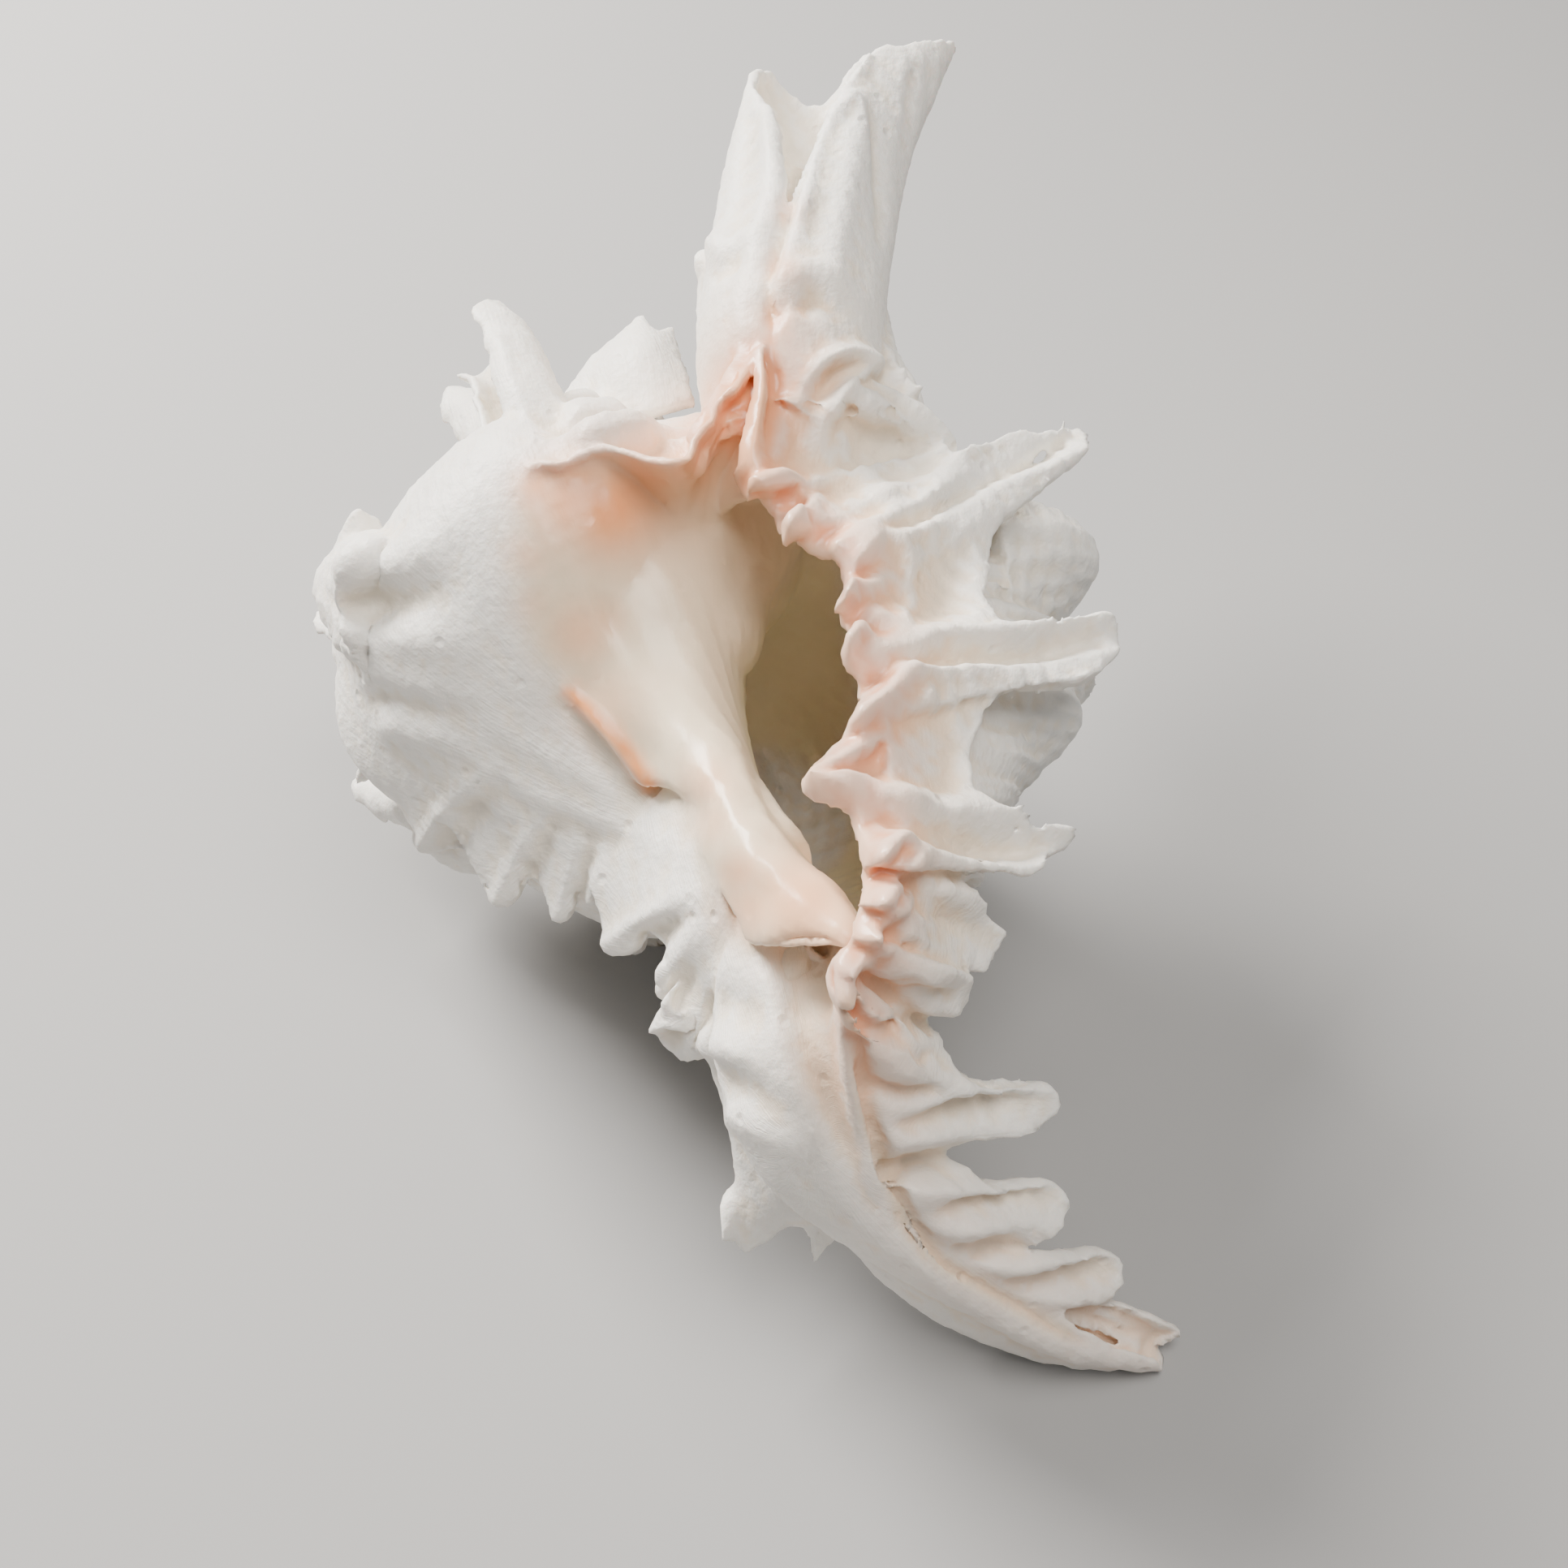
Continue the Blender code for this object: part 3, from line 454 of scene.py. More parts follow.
def lipFace():
    # Straight from the inner to the outer edge, lowered by depth (1 - |x|^3) along each frond
    # (x from -1 to 1 across it), where the edge stays high, and by web sin(pi v) between them;
    # pleats cos(pi number) run out from the teeth, the inner edge is rolled down, and small
    # ripples and the crests and grooves of lipLines are added. The underside has the grooves
    # too, so that the wall keeps its thickness, but only a share of the pleats and crests.
    count = 1500
    number = np.linspace(0, len(lip["inner"]) - 1, count)
    inner = smoothLine(sight(lip["inner"]), count)
    keys = [row[0] for row in lip["outer"]]
    outer = lineAt(keys, sight([row[1] for row in lip["outer"]]), number)
    v = np.linspace(0, 1, 110)[None, :]
    grid = inner[:, None] + v[..., None] * (outer - inner)[:, None]
    out = unit(outer - inner)
    along = inner[40:] - inner[:-40]
    along = unit(np.vstack([along[:20], along, along[-20:]]))
    normals = unit(np.cross(along, out))
    normals = (normals * np.sign(normals[:, 2:3]))[:, None]
    away = v * np.linalg.norm(outer - inner, axis=1)[:, None]
    number = number[:, None]
    deep = 0 * away
    covered = 0 * number
    for first, middle, last, depth in lip["fronds"]:
        x = np.where(number < middle, (number - middle) / (middle - first),
                     (number - middle) / (last - middle))
        x = np.clip(np.abs(x), 0, 1)
        edge = (0.45 + 0.55 * step(x, 0.15, 0.4)) * v ** 5
        deep = deep + depth * (1 - x ** 3) * step(away, *lip["frondDip"]) * (1 - edge)
        covered = covered + (1 - x ** 6)
    deep = deep + lip["web"] * (1 - np.clip(covered, 0, 1)) * np.sin(math.pi * v)
    teeth = step(number, 0, 2) * (1 - step(number, *lip["toothed"]))
    pleats = lip["pleat"] * np.cos(math.pi * number) * (0.2 + 0.8 * teeth)
    pleats = pleats * np.exp(-away / lip["pleatReach"])
    frill = lip["ruffle"] * (np.sin(7.7 * number) + 0.6 * np.sin(13.3 * number + 1)) * v ** 6
    rolled = lip["roll"] * np.exp(-away / lip["rollReach"])
    ripples = np.sin(2.0 * away + 1.5 * np.sin(1.7 * number)) * np.sin(0.9 * number + 0.2 * away)
    ripples = lip["ripple"] * ripples * step(away, *lip["rippleStart"])
    drawn = lineRelief(grid.reshape(-1, 3), lipLines).reshape(away.shape)
    wall = lip["edgeWall"] + (lip["wall"] - lip["edgeWall"]) * np.sin(math.pi * v) ** 0.6
    under = np.where(drawn > 0, lip["underCrest"], 1.0) * drawn
    top = grid + normals * (pleats + frill + ripples + drawn - deep - rolled)[..., None]
    under = under + lip["underPleat"] * pleats
    bottom = grid + normals * (under - deep - rolled - wall)[..., None]
    slab(top, bottom)


lipFace()

mouthEdge = {
    "crest": [(648, 594, 95), (662, 574, 98), (690, 576, 98.5), (712, 566, 99), (742, 556, 100),
              (768, 560, 100.5), (800, 570, 101), (830, 573, 102), (852, 566, 102),
              (862, 540, 102.5), (880, 520, 103), (890, 495, 103), (910, 480, 104),
              (925, 455, 104), (942, 430, 105)],
    "foot": [(-41, 16, 84), (-37, 18, 83), (-33, 19, 82), (-27, 20, 82), (-22, 18, 82),
             (-18, 19, 82), (-15, 22, 84), (-13, 26, 86), (-9, 33, 90), (-6, 40, 94)],
    "hollow": (0.0, 3.0, -1.0),
    "crestWall": 1.2,
    "footGain": 1.8,
    "faces": (0.0, -1.0, 0.3),
}


def mouthBackEdge():
    # Crest to foot in a straight run bent by hollow * sin(pi v), thin at the crest.
    crest = smoothLine(sight(mouthEdge["crest"]), 260)
    foot = smoothLine(ownPlace(mouthEdge["foot"]), 260)
    v = np.linspace(0, 1, 50)[None, :, None]
    grid = (1 - v) * crest[:, None] + v * foot[:, None]
    grid = grid + np.array(mouthEdge["hollow"]) * np.sin(math.pi * v)
    wall = mouthEdge["crestWall"] + mouthEdge["footGain"] * v[..., 0] + 0 * crest[:, :1]
    sheet(grid, wall, np.array(mouthEdge["faces"]))


mouthBackEdge()

# End of the shoulder frond: place across the channel and row of the picture.
shoulderRim = [(-1, 290), (-0.97, 250), (-0.945, 198), (-0.89, 149), (-0.82, 127), (-0.73, 109),
               (-0.66, 98), (-0.6, 90), (-0.54, 84), (-0.4, 91), (-0.25, 122), (-0.15, 138),
               (-0.08, 133), (-0.06, 110), (-0.04, 92), (-0.03, 66), (0.02, 49), (0.13, 56),
               (0.19, 48), (0.35, 50), (0.5, 61), (0.6, 52), (0.7, 48), (0.83, 49), (0.87, 56),
               (0.92, 51), (0.945, 56), (0.97, 148), (0.985, 190), (1, 229)]
# Fronds: middle line, widths, half wrap in degrees, way the channel opens, how much the sides
# fall short of the tip or else the rim that ends the frond, and flatness along the line.
fronds = {
    "shoulder": ([(-3, 24, 82), (-3, 46, 93.5), (-1.5, 67, 99), (3, 95, 106), (11, 122.5, 113)],
                 [22, 30, 30, 31, 34], [170, 180, 180, 176, 160], (-0.1, -0.45, 0.65), shoulderRim,
                 [1, 1, 0.9, 0.72, 0.5]),
    "spireLeft": ([(-42, 33, 88), (-46, 42, 90), (-50, 54, 90), (-56, 62, 89)],
                  [15, 14, 13, 15], [150, 150, 140, 120], (-0.8, -0.4, 0.4), 0.12),
    "spireBack": ([(-48, 47, 76), (-55, 56, 74), (-63, 64, 72)],
                  [15, 13, 9], [120, 120, 100], (-0.4, -0.5, -0.6), 0.25),
    "leftFold": ([(-60, 19, 66), (-70, 27, 62), (-80, 36, 57)],
                 [20, 18, 10], [110, 110, 90], (0.1, -0.2, -1.0), 0.2),
    "left": ([(-69, 31, 46), (-80, 41, 38), (-91, 49, 33)],
             [10, 9, 7], [110, 110, 90], (-0.3, -0.5, -1.0), 0.2),
    "leftHook": ([(-58, 3, 40), (-69, 8, 32), (-79, 15, 27)],
                 [11, 9, 6], [110, 110, 90], (-0.3, 0.5, -1.0), 0.2),
    "canal": ([(-2, -37, 60), (-2, -52, 53), (1, -62, 45), (11, -68, 34), (26, -73, 20),
               (40, -77, 10), (56, -77, 1.5)],
              [22, 24, 21, 16, 12, 9, 6], [135, 160, 165, 165, 160, 150, 120],
              (0.7, 0.1, 0.7), 0.05),
}
frondFinish = {"wall": 2.2, "edge": 1.1, "tipThinner": 0.35, "ruffle": 0.7, "ruffleLength": 7.0,
               "ruffleTurn": 0.6, "ruffleRise": 0.5, "ruffleStart": (3, 12), "tubeRuffle": 0.35,
               "tubeWrap": 2.0, "growth": 0.08, "growthLength": 1.7}


def frond(line, widths, wraps, opening, cut, flats=(1, 1), seed=0.0):
    # Part of a cylinder along a line: centre + r sin(a) side - flat r cos(a) facing, with a
    # from -wrap to wrap; r and a wave along the free edges. The sides stop short of the tip,
    # or each line along the frond ends where it comes to its row of the rim.
    rows, columns = 130, 70
    middle = smoothLine(line, rows)
    length = np.linalg.norm(np.diff(middle, axis=0), axis=1).sum()
    along = np.linspace(0, 1, rows)
    radius = spread(widths, along) / 2
    wrap = np.radians(spread(wraps, along))
    heading = unit(np.gradient(middle, axis=0))
    opening = np.asarray(opening, float)
    facing = unit(opening - (heading @ opening)[:, None] * heading)
    side = np.cross(heading, facing)
    across = np.linspace(-1, 1, columns)
    if isinstance(cut, list):
        turned = (wrap[:, None] * across)[..., None]
        flat = spread(flats, along)[:, None, None]
        section = np.sin(turned) * side[:, None] - flat * np.cos(turned) * facing[:, None]
        pathRows = pictureOf(middle[:, None] + radius[:, None, None] * section)[0][..., 1]
        rimRows = read(cut, across)[:, 0]
        ends = np.array([np.interp(-row, -path, along) for row, path in zip(rimRows, pathRows.T)])
    else:
        ends = 1 - cut * np.abs(across) ** 2.2
    reach = along[:, None] * ends
    run = reach * length
    waves = turn * run / frondFinish["ruffleLength"]
    wave = np.sin(waves + seed + 1.3 * np.sign(across)) + 0.5 * np.sin(waves / 0.47 + 2 * seed)
    tube = wrap.max() >= frondFinish["tubeWrap"]
    ruffle = (frondFinish["tubeRuffle"] if tube else 1.0) * frondFinish["ruffle"] * wave
    ruffle = ruffle * np.abs(across) ** 3 * step(run, *frondFinish["ruffleStart"])
    r = spread(radius, reach)
    angle = spread(wrap, reach) * across
    angle = angle + np.sign(across) * frondFinish["ruffleTurn"] * ruffle / r
    growth = np.sin(turn * run / frondFinish["growthLength"] + 2 * across + seed)
    r = r + frondFinish["ruffleRise"] * ruffle + frondFinish["growth"] * growth

    def at(values):
        # Points along the line read where each grid point stands.
        return np.stack([spread(values[:, i], reach) for i in range(3)], -1)

    centre, facing, side = at(middle), at(facing), at(side)
    grid = (centre + (r * np.sin(angle))[..., None] * side
            - (spread(flats, reach) * r * np.cos(angle))[..., None] * facing)
    thicker = frondFinish["wall"] - frondFinish["edge"]
    wall = frondFinish["edge"] + thicker * (1 - np.abs(across) ** 3)
    wall = wall * (1 - frondFinish["tipThinner"] * step(reach, 0.7, 1.0))
    sheet(grid, wall, grid - centre)


for number, (line, *sizes) in enumerate(fronds.values()):
    frond(ownPlace(line), *sizes, seed=1.7 * number)

# Old lips: degrees back, slant over the outline, shares and frond lengths.
oldLips = [(78, 86, [0.15, 0.27, 0.38, 0.49, 0.6, 0.71], [32, 18, 13, 15, 5, 4]),
           (222, -50, [0.16], [20]),
           (365, 0, [0.14, 0.26], [22, 14]),
           (485, 0, [0.14, 0.26], [22, 14]),
           (605, 0, [0.14, 0.26], [20, 14]),
           (725, 0, [0.16], [18]),
           (845, 0, [0.16], [16])]


# One frond of an old lip: depth of its foot in mm, path as shares of its length up and back,
# widths and half wraps along it, and how much the sides fall short of the tip.
oldFrond = {"sunk": 3, "path": [(0.45, 0.0), (0.8, 0.3), (0.95, 0.6)], "widths": (12, 11, 10, 7),
            "wraps": (70, 80, 85, 70), "shortened": 0.25, "usualLength": 12}


def oldLip(degrees, slant, shares, lengths):
    # Short fronds that stand on the whorl and lean back from the mouth, wider the longer they
    # are. The ways up and back come from points of the whorl a small step away.
    for number, (share, length) in enumerate(zip(shares, lengths)):
        back = math.radians(degrees + slant * share)
        scale = spiral["widening"] ** (-back / turn)
        near = whorl(np.array([back, back + 0.03, back, back]),
                     np.array([share, share, share + 0.02, share - 0.02]))
        backward = unit(near[1] - near[0])
        normal = unit(np.cross(near[2] - near[3], backward))
        normal = normal * np.sign(normal @ (near[0] - onAxis(near[0])))
        size = length * scale
        line = [near[0] - normal * oldFrond["sunk"]]
        for up, behind in oldFrond["path"]:
            line.append(near[0] + normal * size * up + backward * size * behind)
        width = scale * (0.7 + 0.5 * min(size / oldFrond["usualLength"], 1.5))
        frond(line, np.array(oldFrond["widths"]) * width, oldFrond["wraps"],
              normal * 0.2 - backward, oldFrond["shortened"], seed=degrees + number)


for sizes in oldLips:
    oldLip(*sizes)
print("fronds made")

pillar = [(0, 0, 50, 18), (0, 0, 15, 12), (0, -3, -6, 8), (2, -7, -22, 6.5),
          (4, -10, -34, 6), (7, -10, -42, 5), (8, -5, -47, 3)]


def columella():
    # Circles of the listed radii round a smooth line near the axis.
    knots = smoothLine(pillar, 120)
    middle = axisPoint + knots[:, :1] * toRight + knots[:, 1:2] * toBack + knots[:, 2:3] * alongAxis
    angle = np.linspace(0, turn, 61)[None, :, None]
    ring = middle[:, None] + knots[:, None, 3:] * (np.cos(angle) * toRight + np.sin(angle) * toBack)
    slab(ring, middle[:, None] + core * (ring - middle[:, None]))


columella()

# Glossy face of the columella, from its left edge on the whorl to deep in the mouth.
callusRows = [
    [(655, 640, 87), (730, 640, 88), (800, 645, 87), (860, 650, 84), (925, 660, 78), (960, 690, 62)],
    [(640, 720, 82), (730, 715, 84), (810, 715, 84), (875, 715, 80), (922, 735, 70), (940, 770, 55)],
    [(635, 800, 76), (735, 795, 78.5), (815, 795, 79), (873, 795, 76.5), (909, 810, 67), (920, 845, 50)],
    [(650, 872, 71), (745, 866, 73.5), (825, 870, 76), (880, 870, 74.5), (911, 880, 66), (925, 915, 50)],
    [(735, 948, 63), (800, 935, 69.5), (850, 930, 75), (893, 930, 75.5), (925, 945, 71), (945, 985, 51)],
    [(843, 985, 68), (868, 985, 73.5), (893, 985, 76.5),
     (922, 990, 76), (950, 1003, 72.5), (975, 1045, 54)],
    [(862, 1048, 69), (888, 1045, 74), (920, 1040, 77.5),
     (955, 1040, 77), (985, 1050, 74), (1010, 1090, 57)],
    [(893, 1108, 69), (928, 1102, 74.5), (965, 1095, 78),
     (1005, 1095, 78), (1038, 1100, 75.5), (1050, 1130, 62)],
    [(912, 1152, 68), (948, 1154, 74), (985, 1150, 77),
     (1025, 1145, 79), (1058, 1140, 78), (1064, 1145, 72)],
    [(918, 1164, 67), (950, 1168, 73), (985, 1168, 75.5),
     (1025, 1168, 77.5), (1058, 1164, 78), (1066, 1166, 74)],
]
# Left wall of the canal, from its outer edge to the slit.
plateRows = [
    [(908, 1125, 50), (902, 1140, 58), (950, 1140, 63),
     (1008, 1140, 66), (1048, 1160, 72), (1056, 1165, 60)],
    [(890, 1235, 46), (884, 1240, 53), (935, 1235, 61),
     (995, 1235, 66), (1038, 1235, 74), (1046, 1240, 62)],
    [(880, 1290, 40), (872, 1292, 47), (930, 1295, 55),
     (1000, 1295, 63), (1048, 1290, 69), (1054, 1292, 60)],
    [(905, 1370, 33), (897, 1372, 40), (950, 1365, 49),
     (1015, 1355, 57), (1062, 1345, 63), (1068, 1345, 54)],
    [(920, 1440, 26), (912, 1442, 33), (965, 1435, 42),
     (1030, 1420, 50), (1074, 1400, 56), (1080, 1400, 48)],
    [(960, 1500, 20), (950, 1502, 27), (1005, 1490, 36),
     (1055, 1475, 44), (1088, 1455, 50), (1094, 1455, 42)],
    [(1040, 1520, 18), (1030, 1524, 24), (1070, 1515, 32),
     (1098, 1505, 38), (1116, 1500, 43), (1122, 1500, 36)],
    [(1110, 1590, 10), (1102, 1592, 16), (1130, 1580, 24),
     (1148, 1567, 30), (1158, 1556, 34), (1164, 1556, 28)],
    [(1190, 1640, 3), (1182, 1642, 9), (1200, 1628, 15),
     (1213, 1616, 20), (1222, 1604, 24), (1228, 1604, 18)],
    [(1305, 1680, 0.5), (1298, 1682, 3), (1302, 1670, 8),
     (1304, 1658, 12), (1300, 1645, 15), (1304, 1645, 11)],
    [(1400, 1690, 0.5), (1398, 1690, 1.5), (1402, 1684, 3),
     (1406, 1678, 4.5), (1410, 1674, 5), (1414, 1674, 3)],
]
# Two stubs under the edge of that wall.
stubRows = [[[(898, 1375, 38), (925, 1425, 38), (958, 1470, 36), (990, 1492, 34)],
             [(902, 1435, 32), (920, 1475, 30), (948, 1500, 29), (985, 1504, 30)],
             [(912, 1500, 27), (915, 1546, 22), (945, 1532, 23), (976, 1508, 27)]],
            [[(975, 1480, 35), (1010, 1495, 33), (1050, 1512, 30)],
             [(985, 1505, 29), (1006, 1525, 27), (1038, 1522, 27)],
             [(992, 1516, 27), (1003, 1558, 22), (1030, 1526, 25)]]]
# Web between the shoulder frond and the lip.
webRows = [[(960, 380, 104), (1000, 372, 106), (1050, 372, 104), (1098, 385, 96)],
           [(950, 430, 102.5), (1002, 430, 102), (1055, 420, 99.5), (1108, 430, 96)],
           [(950, 475, 100), (1004, 470, 98.5), (1060, 465, 94.5), (1126, 464, 95)],
           [(948, 522, 98.5), (1005, 522, 95), (1062, 514, 91), (1138, 492, 92.5)],
           [(950, 575, 94), (1010, 572, 90), (1075, 555, 86), (1150, 530, 88)]]
# Trough of the mouth that runs up to the shoulder frond.
sinusRows = [[(926, 424, 104.5), (934, 422, 104), (946, 424, 105)],
             [(915, 450, 103.5), (928, 446, 101), (944, 446, 102)],
             [(893, 488, 102.5), (914, 490, 98), (938, 484, 99.5)],
             [(872, 522, 101.5), (898, 532, 95), (930, 530, 95)],
             [(858, 548, 99.5), (890, 578, 88), (930, 585, 87)]]
# Right limb of that trough, from its top to the first tooth.
limbRows = [[(932, 424, 105), (942, 422, 106), (956, 426, 104)],
            [(927, 470, 103), (942, 468, 104.5), (962, 472, 101)],
            [(918, 512, 101.5), (936, 512, 103), (960, 514, 99.5)],
            [(909, 558, 99.5), (930, 558, 101), (957, 556, 98)],
            [(920, 592, 97), (938, 594, 98.5), (958, 590, 96)]]
# Flange along the lower left of the whorl: root on the whorl and lobed edge.
flangeRoot = [(447, 905, 52), (478, 955, 51), (540, 990, 51), (620, 1018, 52), (700, 1035, 54),
              (780, 1050, 56)]
flangeEdge = [(436, 970, 38), (466, 962, 42), (490, 988, 42), (508, 1022, 39), (533, 1054, 38),
              (558, 1048, 41), (596, 1062, 42), (598, 1100, 39), (618, 1116, 39), (636, 1110, 41),
              (648, 1088, 44), (668, 1090, 44), (680, 1131, 41), (700, 1130, 42), (712, 1102, 46),
              (728, 1116, 45), (744, 1100, 48), (768, 1116, 47), (792, 1092, 50)]
# Frond of the spire, seen over the mouth.
spireRows = [[(680, 505, 74), (745, 510, 78), (800, 508, 80), (856, 490, 80)],
             [(722, 445, 78), (760, 436, 83), (800, 432, 84), (845, 450, 80)],
             [(772, 402, 79), (791, 386, 82), (808, 404, 82), (830, 400, 79)]]
# Fan of the older canal: root, knee and scalloped edge.
fanRows = [[(690, 1025, 51), (750, 1015, 56), (795, 985, 62), (838, 965, 67), (862, 1035, 69),
            (890, 1110, 68), (912, 1150, 65), (925, 1190, 60)],
           [(728, 1092, 50), (775, 1100, 55), (815, 1105, 60), (845, 1115, 63), (868, 1150, 62),
            (890, 1185, 60), (905, 1215, 57), (915, 1240, 54)],
           [(735, 1120, 48), (742, 1150, 47), (748, 1178, 46), (773, 1174, 49), (788, 1150, 53),
            (806, 1156, 54), (820, 1176, 53), (806, 1210, 48), (818, 1234, 46), (834, 1243, 48),
            (830, 1262, 47), (812, 1284, 42), (832, 1300, 40), (860, 1303, 42), (868, 1274, 48),
            (885, 1262, 50), (902, 1270, 48), (914, 1252, 50)]]
# Blunt closed knobs: foot, top and the two radii in mm.
knobs = [((896, 440, 92), (889, 306, 98), 5.5, 3.2),
         ((1190, 700, 68), (1335, 695, 61), 13, 8), ((1190, 890, 66), (1318, 882, 59), 11, 6),
         ((515, 755, 74), (414, 704, 60), 13, 5), ((520, 805, 66), (436, 786, 54), 11, 5)]


# Lofted sheets: rows of places, columns and rows of the grid, wall, way the face looks.
surfaces = [(callusRows, 120, 260, 2.4, (0.0, 0.0, 1.0)),
            (plateRows, 110, 300, 2.4, (-0.3, 0.0, 1.0)),
            (webRows, 120, 120, 4.0, (0.0, 0.0, 1.0)),
            (sinusRows, 90, 120, 2.2, (0.0, 0.0, 1.0)),
            (limbRows, 60, 120, 2.2, (0.0, 0.0, 1.0)),
            (stubRows[0], 70, 60, 2.8, (-0.3, -0.3, 1.0)),
            (stubRows[1], 70, 60, 2.8, (-0.3, -0.3, 1.0)),
            (spireRows, 120, 100, 2.4, (0.0, -0.5, 1.0)),
            ([flangeRoot, flangeEdge], 300, 50, 2.3, (0.0, -0.3, 1.0)),
            (fanRows, 300, 110, 2.4, (-0.2, -0.3, 1.0))]


def loft(rowsOfPlaces, columns, rows, wall, faces):
    # Smooth lines along each row of places, then smooth lines through them, as a sheet.
    lines = np.array([smoothLine(sight(row), columns) for row in rowsOfPlaces])
    grid = np.stack([smoothLine(lines[:, j], rows) for j in range(columns)], 1)
    sheet(grid, wall, np.array(faces))


for sizes in surfaces:
    loft(*sizes)


def knob(foot, top, wide, narrow):
    # Rings round the line from foot to top: radius from wide to narrow, closed like
    # (1 - t^10)^(1/2), and made uneven by 0.1 cos(3 angle + 4 t), ribs and rings.
    foot, top = sight([foot, top])
    t = np.linspace(0, 1, 60)[:, None]
    angle = np.linspace(0, turn, 73)[None, :]
    heading = unit(top - foot)
    side = unit(np.cross(heading, [0.0, 0.0, 1.0]))
    radius = (wide + (narrow - wide) * t) * np.sqrt(np.maximum(1 - t ** 10, 0.0004))
    radius = radius * (1 + 0.1 * np.cos(3 * angle + 4 * t) + 0.03 * np.cos(15 * angle)
                       + 0.02 * np.sin(40 * t + 3 * np.cos(2 * angle)))
    middle = (foot + (top - foot) * t)[:, None]
    ring = middle + radius[..., None] * (np.cos(angle)[..., None] * side
                                         + np.sin(angle)[..., None] * np.cross(side, heading))
    slab(ring, middle + core * (ring - middle))


for sizes in knobs:
    knob(*sizes)
print("columella, callus and old canal made")


def melt():
    # Every closed sheet in one mesh, then a voxel skin round their union.
    corners = np.concatenate([part[0] for part in shellParts])
    starts = np.cumsum([0] + [len(part[0]) for part in shellParts[:-1]])
    faces = np.concatenate([part[1] + start for part, start in zip(shellParts, starts)])
    mesh = bpy.data.meshes.new("sheets")
    mesh.from_pydata((corners * mm).tolist(), [], faces.tolist())
    sheets = bpy.data.objects.new("sheets", mesh)
    bpy.context.scene.collection.objects.link(sheets)
    remesh = sheets.modifiers.new("skin", "REMESH")
    remesh.mode = "VOXEL"
    remesh.voxel_size = skin["voxel"] * mm
    bpy.context.view_layer.update()
    graph = bpy.context.evaluated_depsgraph_get()
    melted = bpy.data.meshes.new_from_object(sheets.evaluated_get(graph))
    bpy.data.objects.remove(sheets)
    return melted


def atCorners(mesh, what):
    # Places or normals of all corners of a mesh, one row each.
    values = np.empty(len(mesh.vertices) * 3, np.float32)
    mesh.vertices.foreach_get(what, values)
    return values.reshape(-1, 3).astype(float)


def edgeEnds(mesh):
    # Numbers of the first and of the second corner of all edges.
    values = np.empty(len(mesh.edges) * 2, np.int32)
    mesh.edges.foreach_get("vertices", values)
    return values.reshape(-1, 2).T


def moveCorners(mesh, corners):
    # Puts the corners, in metres, at their new places, none of them below the floor.
    corners[:, 2] = np.maximum(corners[:, 2], 0)
    mesh.vertices.foreach_set("co", corners.astype(np.float32).ravel())
    mesh.update()


def relax(mesh, rounds):
    # Each corner moves half way to the mean of its neighbours, in every round.
    corners = atCorners(mesh, "co")
    a, b = edgeEnds(mesh)
    count = np.bincount(a, minlength=len(corners)) + np.bincount(b, minlength=len(corners))
    for _ in range(rounds):
        mean = np.stack([np.bincount(a, corners[b, i], len(corners))
                         + np.bincount(b, corners[a, i], len(corners)) for i in range(3)], -1)
        corners = 0.5 * corners + 0.5 * mean / count[:, None]
    moveCorners(mesh, corners)


